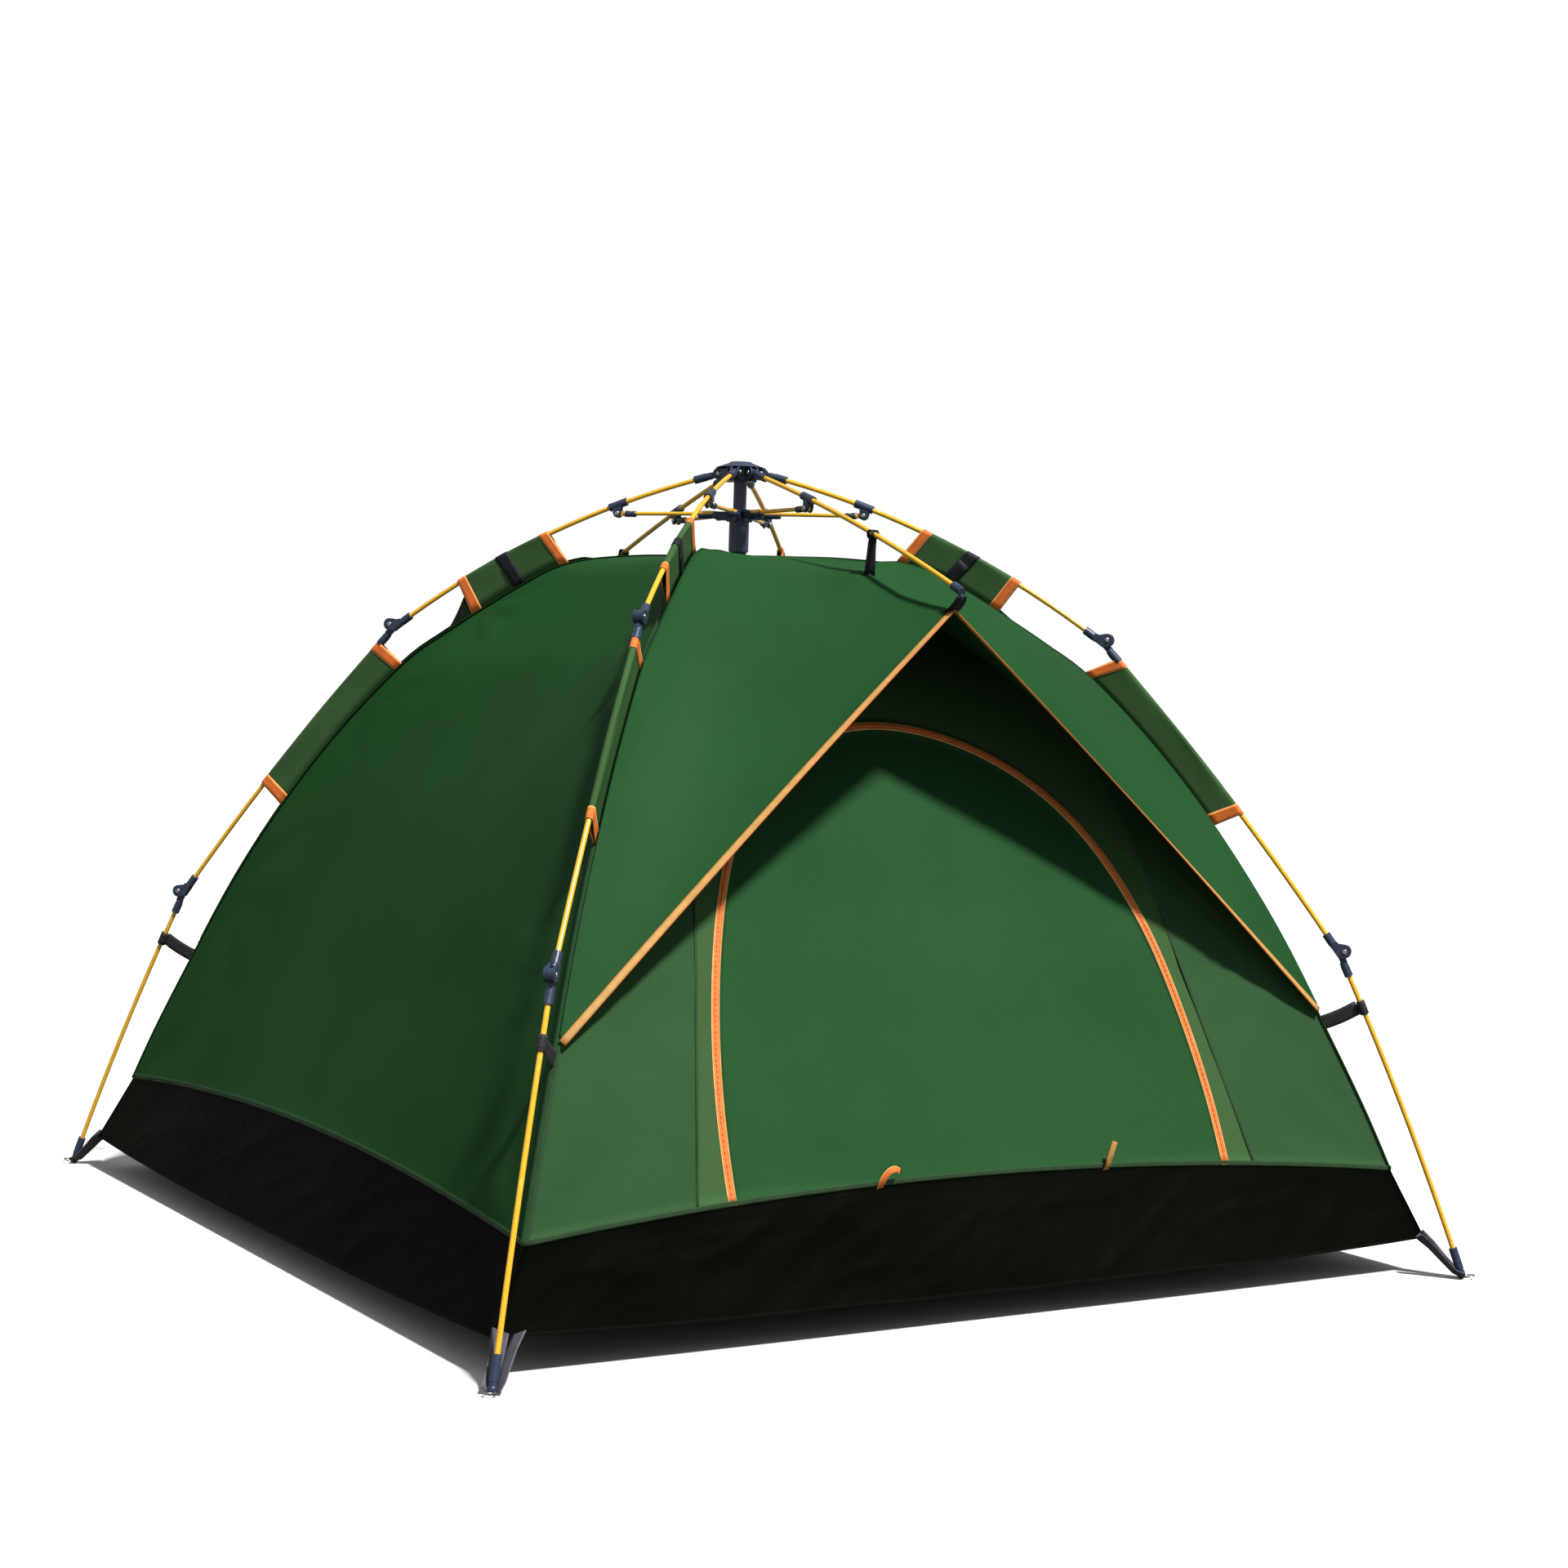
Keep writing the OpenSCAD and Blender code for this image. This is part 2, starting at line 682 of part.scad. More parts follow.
module tub_walls() {
  color("black") for (side = [0, 90, 180, 270]) tub_wall(side);
}

// ---- Awnings ----
awning_peak = [0, -757, 1236];
awning_foot_t = 0.143;
roof_edge_t = 0.786;
// Share of the awning's half width that lies along the roof's front edge
roof_share = 0.3;
// Where the awning leaves the canopy: up one ridge, over the roof and down the other
function awning_root(v) =
  let (s = abs(v), rise = (roof_edge_t - awning_foot_t) * (1 - s) / (1 - roof_share))
  s > roof_share ? wall_point(270, sign(v), awning_foot_t + rise)
    : wall_point(270, v / roof_share, roof_edge_t);
// Free edge, straight from the peak down to the foot of each ridge
function awning_edge(v) =
  let (foot = wall_point(270, sign(v), awning_foot_t))
  v == 0 ? awning_peak : awning_peak + (foot - awning_peak) * abs(v);
// v runs from the left ridge to the right one, w from the canopy to the free edge
function awning_point(v, w) =
  let (sag = -9 * sin(180 * w) * sin(180 * min(1, abs(v) * 1.1)))
  awning_root(v) * (1 - w) + awning_edge(v) * w + [0, -6, 6 + sag];
awning_cols = 20;
awning_rows = 5;

module awning(turn) {
  color("seagreen")
    rotate([0, 0, turn])
      sheet(
        [for (r = [0 : awning_rows]) [for (c = [0 : awning_cols])
          awning_point(0.985 * (2 * c / awning_cols - 1), r / awning_rows) + [0, 0, 3]]],
        [for (r = [0 : awning_rows]) [for (c = [0 : awning_cols])
          awning_point(0.985 * (2 * c / awning_cols - 1), r / awning_rows)]]
      );
}

module front_awning() { awning(0); }
module rear_awning() { awning(180); }

// ---- Sleeves, straps and small trim ----
module sleeve_strip(p, q, bow, t0, t1, r0, r1) {
  n = 6;
  top = [for (k = [0 : n]) arc_point(p, q, bow, t0 + (t1 - t0) * k / n)
    + 5.6 * [cos(arc_turn(p, q, bow, t0 + (t1 - t0) * k / n) + 180),
      sin(arc_turn(p, q, bow, t0 + (t1 - t0) * k / n) + 180)]];
  low = [for (k = [n : -1 : 0]) ridge_at(r0 + (r1 - r0) * k / n) + [9, 9]];
  rotate([90, 0, 0]) translate([0, 0, -1.5]) linear_extrude(3) polygon(concat(top, low));
  difference() {
    arc_rod(p, q, bow, t0, t1, pole_r + 2);
    arc_rod(p, q, bow, t0 - 0.02, t1 + 0.02, pole_r + 0.5);
  }
}

module pole_sleeves() {
  color("darkolivegreen")
    for (a = [FL, BL, BR, FR])
      at_leg(a) {
        sleeve_strip(arm_a, elbow1, arm_bow, 0.50, 0.76, 0.72, 0.575);
        sleeve_strip(elbow1, elbow2, mid_bow, 0.08, 0.60, 0.395, 0.255);
      }
}

strap_z = 500;
module leg_straps() {
  color("dimgray")
    for (a = [FL, BL, BR, FR])
      at_leg(a) {
        translate([1218, -10, strap_z - 10]) cube([60, 20, 2]);
        rotate([90, 0, 0])
          translate([0, 0, -9])
            linear_extrude(18)
              polygon([[1416, 72], [1418, 76], [1466, 30], [1464, 26]]);
      }
}

module awning_straps() {
  color("black")
    for (turn = [0, 180])
      rotate([0, 0, turn]) {
        translate([-9, -487, 1325]) cube([18, 3, 52]);
        rotate([0, 90, 0])
          translate([0, 0, -8])
            linear_extrude(16)
              polygon([[-1249, -762], [-1249, -765], [-1259, -774], [-1259, -771]]);
      }
}

module mast_hanger() {
  color("orangered")
    translate([0, 0, roof_z + 1.4])
      difference() {
        translate([-6, 3, -2]) cube([12, 2, 4.2]);
        translate([0, 4, 0.2]) cross(1, 4);
      }
}

module door_toggles() {
  color("orangered")
    for (x = [-236, 260])
      translate([x, -943, 236]) rotate([-22, 20, 0]) cube([14, 3, 52]);
}

hub_body();
hub_cap();
hub_pins();
mast_upper_tube();
mast_second_tube();
mast_third_tube();
runner();
mast_outer_tube();
mast_inner_tube();
mast_foot();
mast_spring();
leg_arm_pole(FL);  // front_left_arm_pole
leg_arm_fittings(FL);  // front_left_arm_fittings
strut(FL);  // front_left_strut
leg_mid_pole(FL);  // front_left_mid_pole
leg_mid_fittings(FL);  // front_left_mid_fittings
leg_lower_pole(FL);  // front_left_lower_pole
leg_foot_fittings(FL);  // front_left_foot_fittings
leg_arm_pole(FR);  // front_right_arm_pole
leg_arm_fittings(FR);  // front_right_arm_fittings
strut(FR);  // front_right_strut
leg_mid_pole(FR);  // front_right_mid_pole
leg_mid_fittings(FR);  // front_right_mid_fittings
leg_lower_pole(FR);  // front_right_lower_pole
leg_foot_fittings(FR);  // front_right_foot_fittings
leg_arm_pole(BL);  // back_left_arm_pole
leg_arm_fittings(BL);  // back_left_arm_fittings
strut(BL);  // back_left_strut
leg_mid_pole(BL);  // back_left_mid_pole
leg_mid_fittings(BL);  // back_left_mid_fittings
leg_lower_pole(BL);  // back_left_lower_pole
leg_foot_fittings(BL);  // back_left_foot_fittings
leg_arm_pole(BR);  // back_right_arm_pole
leg_arm_fittings(BR);  // back_right_arm_fittings
strut(BR);  // back_right_strut
leg_mid_pole(BR);  // back_right_mid_pole
leg_mid_fittings(BR);  // back_right_mid_fittings
leg_lower_pole(BR);  // back_right_lower_pole
leg_foot_fittings(BR);  // back_right_foot_fittings
awning_pole(270);  // front_awning_pole
awning_fittings(270);  // front_awning_fittings
strut(270);  // front_awning_strut
awning_pole(90);  // rear_awning_pole
awning_fittings(90);  // rear_awning_fittings
strut(90);  // rear_awning_strut
groundsheet();
tub_walls();
canopy_left();
canopy_right();
canopy_back();
canopy_front();
door_panel();
door_zip();
front_awning();
rear_awning();
pole_sleeves();
leg_straps();
awning_straps();
mast_hanger();
door_toggles();
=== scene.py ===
import json
import math

import bpy
import numpy as np
from mathutils import Matrix, Vector

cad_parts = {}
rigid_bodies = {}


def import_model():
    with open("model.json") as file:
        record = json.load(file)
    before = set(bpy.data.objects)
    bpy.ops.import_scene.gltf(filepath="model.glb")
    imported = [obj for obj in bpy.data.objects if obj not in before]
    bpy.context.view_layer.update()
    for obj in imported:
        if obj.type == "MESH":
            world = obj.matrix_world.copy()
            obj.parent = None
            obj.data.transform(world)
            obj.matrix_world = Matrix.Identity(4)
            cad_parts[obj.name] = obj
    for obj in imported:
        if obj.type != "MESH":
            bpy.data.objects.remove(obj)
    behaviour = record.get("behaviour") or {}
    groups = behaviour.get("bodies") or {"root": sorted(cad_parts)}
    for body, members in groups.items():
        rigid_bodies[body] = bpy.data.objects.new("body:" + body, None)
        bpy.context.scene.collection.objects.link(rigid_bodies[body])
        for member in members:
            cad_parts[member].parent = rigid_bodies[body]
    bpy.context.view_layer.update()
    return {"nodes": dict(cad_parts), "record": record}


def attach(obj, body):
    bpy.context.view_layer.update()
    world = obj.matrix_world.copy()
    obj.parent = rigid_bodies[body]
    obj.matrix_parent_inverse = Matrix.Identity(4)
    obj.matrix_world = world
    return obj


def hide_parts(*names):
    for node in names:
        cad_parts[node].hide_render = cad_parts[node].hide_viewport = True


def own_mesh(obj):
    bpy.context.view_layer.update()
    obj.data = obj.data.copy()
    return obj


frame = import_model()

MM = 0.001
PI = math.pi

# ---- shape of the tent, in mm
# A point in a leg's own plane is [distance from the mast, height]
FOOT_X, FOOT_Y = 1030.0, 1070.0
LEG = math.atan2(FOOT_Y, FOOT_X)  # the way the back right leg points, seen from above
LEGS = {"front_left": PI + LEG, "back_left": PI - LEG, "back_right": LEG, "front_right": -LEG}
SIDES = (0, 90, 180, 270)  # where each wall faces, in degrees
FRONT = 270
HUB_P = np.array([45.0, 1536.0])
ELBOW_1 = np.array([757.0, 1203.0])
ELBOW_2 = np.array([1235.0, 612.0])
FOOT_P = np.array([math.hypot(FOOT_X, FOOT_Y), 8.0])
AWNING_P = np.array([788.0, 1276.0])
KNUCKLE = np.array([262.0, 1452.0])  # where a strut meets its arm
RUNNER_R = 48.0
BOW = {"arm": 40.0, "mid": 12.0, "lower": 8.0, "awning": 14.0}
PIVOT_OFF = 11.0  # an elbow's pin above the point where its poles meet
FLOOR = 1000.0  # half the groundsheet's side
EDGE_Z, CORNER_Z = 52.0, 68.0  # foot of the tub's wall, half-way along it and at a corner
SEAM_Z, SEAM_CORNER_Z = 246.0, 200.0  # top of the tub's wall, in the same two places
SIDE_BOW, END_BOW = 12, 40  # how far that seam curves in, at the sides and at front and back
WALL_SAG, WALL_DIP = 34, 16  # how far the cloth between two ridges sinks in, and down
SEAM_FOOT, SEAM_LEAN = 648.8, 0.195  # upright seams: sideways at the ground, and in per mm up
ROOF_T = 0.786  # share of the way up the ridge where the front wall ends and the roof begins
RIDGE = np.array([
    [1345, 200], [1290, 318], [1210, 472], [1110, 655], [990, 836],
    [865, 992], [730, 1130], [640, 1194], [555, 1248], [480, 1293],
    [405, 1333], [330, 1354], [220, 1364], [110, 1366], [0, 1366]], float)


def smooth_between(p0, p1, p2, p3, f):
    """Point of a smooth curve between p1 and p2, at a share f of the way."""
    return 0.5 * (2 * p1 + (p2 - p0) * f + (2 * p0 - 5 * p1 + 4 * p2 - p3) * f**2
                  + (3 * p1 - p0 - 3 * p2 + p3) * f**3)


def ridge_at(t):
    """Point of the ridge [distance from the mast, height] at a share t of the way up, smoothed."""
    t = np.clip(np.asarray(t, float), 0, 1)
    n = len(RIDGE) - 1
    k = np.minimum(n - 1, np.floor(t * n)).astype(int)
    f = (t * n - k)[..., None]
    return smooth_between(RIDGE[np.maximum(k - 1, 0)], RIDGE[k],
                          RIDGE[k + 1], RIDGE[np.minimum(k + 2, n)], f)


def wall(side, u, t):
    """Point of the wall that faces 0, 90, 180 or 270 degrees.

    u is -1 to 1 from one of its ridges to the other, t is 0 to 1 from the tub to the crown."""
    u, t = np.broadcast_arrays(np.asarray(u, float), np.asarray(t, float))
    p = ridge_at(t)
    cx, cy = p[..., 0] * math.cos(LEG), p[..., 0] * math.sin(LEG)
    faces_x = side % 180 == 0
    middle = 1 - u * u
    bow = (SIDE_BOW if faces_x else END_BOW) * (1 - t * t)
    sag = (bow + WALL_SAG * np.sin(PI * np.minimum(1, t * 1.35))) * middle
    lift = ((SEAM_Z - SEAM_CORNER_Z) * (1 - t) ** 3 - WALL_DIP * np.sin(PI * t)) * middle
    out = (cx if faces_x else cy) - sag
    along = (cy if faces_x else cx) * u
    z = p[..., 1] + lift
    x, y = {0: (out, along), 90: (-along, out), 180: (-out, -along), 270: (along, -out)}[side]
    return np.stack([x, y, z], -1)


class Arc:
    """Bowed pole between p and q in a leg's own plane; t is 0 to 1 along it."""

    def __init__(self, p, q, bow):
        half = np.linalg.norm(q - p) / 2
        self.radius = (half * half + bow * bow) / (2 * bow)
        self.chord = math.atan2(q[1] - p[1], q[0] - p[0])
        d = self.radius - bow
        self.centre = (p + q) / 2 + d * np.array([math.sin(self.chord), -math.cos(self.chord)])
        self.half = math.asin(half / self.radius)
        self.length = 2 * self.half * self.radius

    def turn(self, t):
        return self.chord + PI / 2 + self.half * (1 - 2 * np.asarray(t, float))

    def at(self, t):
        b = self.turn(t)
        return self.centre + self.radius * np.stack([np.cos(b), np.sin(b)], -1)


ARM_ARC = Arc(HUB_P, ELBOW_1, BOW["arm"])
MID_ARC = Arc(ELBOW_1, ELBOW_2, BOW["mid"])
LOWER_ARC = Arc(ELBOW_2, FOOT_P, BOW["lower"])
AWNING_ARC = Arc(HUB_P, AWNING_P, BOW["awning"])


def leg(angle, rz, y=0.0):
    """Turns [distance from the mast, height] and a sideways step into a point of the tent."""
    rz = np.asarray(rz, float)
    c, s = math.cos(angle), math.sin(angle)
    r, z = rz[..., 0], rz[..., 1]
    return np.stack([r * c - y * s, r * s + y * c, z], -1)


def waves(p, seed, size, amp, count=7):
    """Soft, repeatable unevenness: a sum of plane waves about `size` mm long."""
    rng = np.random.RandomState(seed)
    h = np.zeros(p.shape[:-1])
    for _ in range(count):
        d = rng.normal(size=3)
        d *= 2 * PI / (size * rng.uniform(0.6, 1.7)) / np.linalg.norm(d)
        h += np.sin(p @ d + rng.uniform(0, 2 * PI))
    return amp * h / math.sqrt(count)


def creases(p, seed, size, amp, along, count=4):
    """Sharp-topped folds that run roughly along a direction."""
    rng = np.random.RandomState(seed)
    along = np.asarray(along, float) / np.linalg.norm(along)
    h = np.zeros(p.shape[:-1])
    for _ in range(count):
        d = rng.normal(size=3)
        d -= 0.85 * along * (d @ along)
        d *= 2 * PI / (size * rng.uniform(0.6, 1.8)) / np.linalg.norm(d)
        bend = 0.9 * np.sin(p @ (rng.normal(size=3) * 2 * PI / (size * 4)) + rng.uniform(0, 6))
        h += (1 - np.abs(np.sin(p @ d / 2 + bend + rng.uniform(0, 6)))) ** 3
    return amp * h / count


# ---- materials
def node(tree, kind, props=None, **inputs):
    """New shader node; an input is given by its name, or by its number as i0, i1 and so on."""
    n = tree.nodes.new(kind)
    for key, value in (props or {}).items():
        setattr(n, key, value)
    for key, value in inputs.items():
        by_number = key[0] == "i" and key[1:].isdigit()
        socket = n.inputs[int(key[1:]) if by_number else key.replace("_", " ")]
        if isinstance(value, bpy.types.NodeSocket):
            tree.links.new(value, socket)
        else:
            socket.default_value = value
    return n


def calc(tree, op, a, b=0.0):
    return node(tree, "ShaderNodeMath", {"operation": op}, i0=a, i1=b).outputs[0]


def mix(tree, factor, a, b):
    n = node(tree, "ShaderNodeMix", {"data_type": "RGBA"}, i0=factor)
    for k, v in ((6, a), (7, b)):
        if isinstance(v, bpy.types.NodeSocket):
            tree.links.new(v, n.inputs[k])
        else:
            n.inputs[k].default_value = (*v, 1)
    return n.outputs[2]


def noise(tree, co, scale, detail=3.0, rough=0.5):
    return node(tree, "ShaderNodeTexNoise", Vector=co.outputs["Object"], Scale=scale,
                Detail=detail, Roughness=rough).outputs[0]


def spread(tree, value, low, high, to_low=0.0, to_high=1.0):
    n = node(tree, "ShaderNodeMapRange", i0=value, i1=low, i2=high, i3=to_low, i4=to_high)
    return n.outputs[0]


def new_material(name, **shader):
    m = bpy.data.materials.new(name)
    m.use_nodes = True
    tree = m.node_tree
    tree.nodes.clear()
    out = tree.nodes.new("ShaderNodeOutputMaterial")
    s = node(tree, "ShaderNodeBsdfPrincipled", **shader)
    tree.links.new(s.outputs[0], out.inputs[0])
    return m, tree, s


def bumps(tree, shader, *layers):
    """Chains bump layers (height, strength, distance in metres) into the shader's normal."""
    last = None
    for height, strength, distance in layers:
        n = node(tree, "ShaderNodeBump", Strength=strength, Distance=distance, Height=height)
        if last is not None:
            tree.links.new(last, n.inputs["Normal"])
        last = n.outputs[0]
    tree.links.new(last, shader.inputs["Normal"])


def weave(tree, uv, pitch):
    """Height of a plain weave with threads `pitch` metres apart."""
    part = node(tree, "ShaderNodeSeparateXYZ", i0=uv)
    k = PI / pitch
    a = calc(tree, "SINE", calc(tree, "MULTIPLY", part.outputs[0], k))
    b = calc(tree, "SINE", calc(tree, "MULTIPLY", part.outputs[1], k))
    return calc(tree, "MAXIMUM", calc(tree, "ABSOLUTE", a), calc(tree, "ABSOLUTE", b))


def cloth_material(name, light, dark, rough=0.62, pitch=0.0011, spec=0.045, crinkle=0.12,
                   inner=None):
    """Woven cloth: two tones in soft clouds, threads `pitch` metres apart and small crinkles."""
    m, tree, s = new_material(name, Specular_IOR_Level=spec)
    co = tree.nodes.new("ShaderNodeTexCoord")
    big = spread(tree, noise(tree, co, 2.6, 3.0), 0.32, 0.68)
    colour = mix(tree, big, dark, light)
    if inner is not None:
        # Between the upright seams and the zip, where the front wall's cloth is doubled
        part = node(tree, "ShaderNodeSeparateXYZ", i0=co.outputs["UV"])
        lean = calc(tree, "MULTIPLY", part.outputs[1], SEAM_LEAN)
        edge = calc(tree, "SUBTRACT", SEAM_FOOT * MM, lean)
        inside = calc(tree, "LESS_THAN", calc(tree, "ABSOLUTE", part.outputs[0]), edge)
        colour = mix(tree, inside, colour, inner)
    fine = spread(tree, noise(tree, co, 420.0, 2.0), 0.3, 0.7, 0.90, 1.08)
    hsv = node(tree, "ShaderNodeHueSaturation", Value=fine, Color=colour)
    tree.links.new(hsv.outputs[0], s.inputs["Base Color"])
    threads = weave(tree, co.outputs["UV"], pitch)
    gloss = spread(tree, threads, 0, 1, rough + 0.08, rough - 0.05)
    tree.links.new(gloss, s.inputs["Roughness"])
    soft_height = noise(tree, co, 22.0, 5.0, 0.6)
    bumps(tree, s, (soft_height, crinkle, 0.004), (threads, 0.25, 0.0002))
    return m


def tape_material(name, main, pale, rib=0.0022, stitch_pitch=0.0045):
    """Woven binding: ribs across it, other-coloured edges and a stitch line near each edge.

    Its UV is metres along the tape, and 0 to 1 across it."""
    m, tree, s = new_material(name, Roughness=0.6, Specular_IOR_Level=0.2)
    co = tree.nodes.new("ShaderNodeTexCoord")
    along, v, _ = node(tree, "ShaderNodeSeparateXYZ", i0=co.outputs["UV"]).outputs
    across = calc(tree, "ABSOLUTE", calc(tree, "SUBTRACT", v, 0.5))
    colour = mix(tree, spread(tree, across, 0.34, 0.46), main, pale)
    dash = calc(tree, "SINE", calc(tree, "MULTIPLY", along, 2 * PI / stitch_pitch))
    line = calc(tree, "ABSOLUTE", calc(tree, "SUBTRACT", across, 0.27))
    stitch = calc(tree, "MULTIPLY", calc(tree, "GREATER_THAN", dash, -0.2),
                  calc(tree, "LESS_THAN", line, 0.035))
    colour = mix(tree, calc(tree, "MULTIPLY", stitch, 0.7), colour, [c * 0.45 for c in main])
    wear = spread(tree, noise(tree, co, 60.0, 4.0), 0.35, 0.75, 0.86, 1.1)
    hsv = node(tree, "ShaderNodeHueSaturation", Value=wear, Color=colour)
    tree.links.new(hsv.outputs[0], s.inputs["Base Color"])
    ribs = calc(tree, "ABSOLUTE", calc(tree, "SINE", calc(tree, "MULTIPLY", along, PI / rib)))
    bumps(tree, s, (ribs, 0.35, 0.0004), (stitch, -0.5, 0.0006))
    return m


def hard_material(name, base, worn, rough=0.4, metal=0.0, coat=0.0, grain=90.0, bump=0.08,
                  band=0.0):
    """Moulded plastic, wrapped rod or tube: fine grain, slight blotches and lighter worn spots."""
    m, tree, s = new_material(name, Metallic=metal, Coat_Weight=coat, Coat_Roughness=0.15)
    co = tree.nodes.new("ShaderNodeTexCoord")
    spots = spread(tree, noise(tree, co, grain, 5.0, 0.65), 0.52, 0.78)
    colour = mix(tree, spots, base, worn)
    if band:
        wrap = node(tree, "ShaderNodeTexWave", {"bands_direction": "DIAGONAL"},
                    Vector=co.outputs["Object"], Scale=band, Distortion=1.5, Detail=2.0)
        shade = spread(tree, wrap.outputs[1], 0.0, 1.0, 0.0, 0.22)
        colour = mix(tree, shade, colour, [c * 0.72 for c in base])
    tree.links.new(colour, s.inputs["Base Color"])
    tree.links.new(spread(tree, spots, 0, 1, rough, rough + 0.18), s.inputs["Roughness"])
    bumps(tree, s, (noise(tree, co, grain * 9, 3.0), bump, 0.0004))
    return m


GREEN = cloth_material("green_cloth", (0.0130, 0.064, 0.0165), (0.0105, 0.053, 0.0130))
AWNING_GREEN = cloth_material("awning_cloth", (0.0148, 0.0715, 0.0215), (0.0122, 0.0610, 0.0180))
OLIVE = cloth_material("front_cloth", (0.031, 0.086, 0.033), (0.026, 0.075, 0.028),
                       inner=(0.043, 0.102, 0.036))
DOOR_GREEN = cloth_material("door_cloth", (0.0190, 0.077, 0.0250), (0.0160, 0.067, 0.0210),
                            crinkle=0.2)
SLEEVE_GREEN = cloth_material("sleeve_cloth", (0.0520, 0.119, 0.0440), (0.0380, 0.093, 0.0310),
                              crinkle=0.2)
BLACK_CLOTH = cloth_material("black_cloth", (0.0018, 0.0025, 0.0011), (0.0009, 0.0014, 0.0006),
                             rough=0.6, spec=0.03, crinkle=0.6)
MESH_CLOTH = cloth_material("mesh_cloth", (0.012, 0.022, 0.010), (0.004, 0.008, 0.004),
                            rough=0.8, pitch=0.004, spec=0.1, crinkle=0.2)
SEAM_GREEN = tape_material("seam_tape", (0.034, 0.080, 0.032), (0.020, 0.056, 0.020))
DARK_SEAM = tape_material("dark_seam_tape", (0.0135, 0.055, 0.017), (0.0105, 0.043, 0.013))
STITCH = tape_material("stitch_tape", (0.020, 0.056, 0.020), (0.026, 0.069, 0.026))
ORANGE = tape_material("orange_tape", (0.88, 0.205, 0.040), (0.92, 0.42, 0.135))
ZIP_TAPE = tape_material("zip_tape", (0.70, 0.220, 0.052), (0.78, 0.45, 0.165))
GOLD_TAPE = tape_material("gold_tape", (0.53, 0.305, 0.095), (0.52, 0.135, 0.028))
WEB_RIB = 0.0030
BLACK_WEB = tape_material("black_webbing", (0.008, 0.009, 0.013), (0.016, 0.018, 0.024), WEB_RIB)
FOOT_WEB = tape_material("foot_webbing", (0.095, 0.088, 0.115), (0.135, 0.125, 0.155), WEB_RIB)
GREY_WEB = tape_material("grey_webbing", (0.026, 0.026, 0.032), (0.045, 0.044, 0.052), WEB_RIB)
COIL = hard_material("zip_coil", (0.66, 0.130, 0.022), (0.72, 0.28, 0.08), rough=0.4)
YELLOW = hard_material("yellow_rod", (0.92, 0.480, 0.020), (0.97, 0.60, 0.06), rough=0.28,
                       coat=0.4, grain=45.0, bump=0.05, band=60.0)
NAVY = hard_material("navy_plastic", (0.024, 0.040, 0.082), (0.044, 0.066, 0.124), rough=0.36,
                     grain=70.0, bump=0.2)
DARK_TUBE = hard_material("dark_tube", (0.027, 0.045, 0.094), (0.052, 0.072, 0.128), rough=0.3,
                          coat=0.2, grain=120.0)
BLACK_PLASTIC = hard_material("black_plastic", (0.024, 0.039, 0.080), (0.045, 0.064, 0.110),
                              rough=0.4, grain=80.0, bump=0.2)
ALU = hard_material("aluminium", (0.55, 0.56, 0.58), (0.72, 0.72, 0.73), rough=0.3, metal=1.0,
                    grain=160.0)
STEEL = hard_material("steel", (0.62, 0.62, 0.62), (0.42, 0.40, 0.38), rough=0.25, metal=1.0,
                      grain=200.0)


# ---- mesh helpers
def obj_from(name, verts, faces, uvs, material, smooth=True):
    """Mesh object from points in mm; uvs has one pair per point."""
    me = bpy.data.meshes.new(name)
    points = [tuple(v) for v in np.asarray(verts) * MM]
    me.from_pydata(points, [], [tuple(int(i) for i in f) for f in faces])
    me.validate()
    layer = me.uv_layers.new(name="UVMap")
    index = np.zeros(len(me.loops), int)
    me.loops.foreach_get("vertex_index", index)
    layer.data.foreach_set("uv", np.asarray(uvs, float)[index].astype(np.float32).ravel())
    me.polygons.foreach_set("use_smooth", [smooth] * len(me.polygons))
    me.materials.append(material)
    o = bpy.data.objects.new(name, me)
    bpy.context.scene.collection.objects.link(o)
    return o


def normals_of(p):
    """Unit normals of a grid of points."""
    n = np.cross(np.gradient(p, axis=0), np.gradient(p, axis=1))
    length = np.linalg.norm(n, axis=-1, keepdims=True)
    return n / np.maximum(length, 1e-9)


def displaced(p, height):
    """A grid's points, moved along its normals by a height in mm each."""
    return p + normals_of(p) * height[..., None]


def skin(rings, sides, closed=False):
    """Faces round a run of rings with as many points each, capped at both ends unless closed."""
    faces = []
    for i in range(rings if closed else rings - 1):
        a, b = i * sides, (i + 1) % rings * sides
        faces += [(a + c, a + (c + 1) % sides, b + (c + 1) % sides, b + c) for c in range(sides)]
    if not closed:
        faces += [tuple(range(sides))[::-1], tuple(range((rings - 1) * sides, rings * sides))]
    return faces


def run_of(path, closed):
    """Unit directions along a path in mm, and how far along it each point is, in metres."""
    tangent = np.roll(path, -1, 0) - np.roll(path, 1, 0) if closed else np.gradient(path, axis=0)
    tangent /= np.linalg.norm(tangent, axis=1, keepdims=True)
    step = np.linalg.norm(np.diff(path, axis=0), axis=1)
    return tangent, np.concatenate([[0], np.cumsum(step)]) * MM


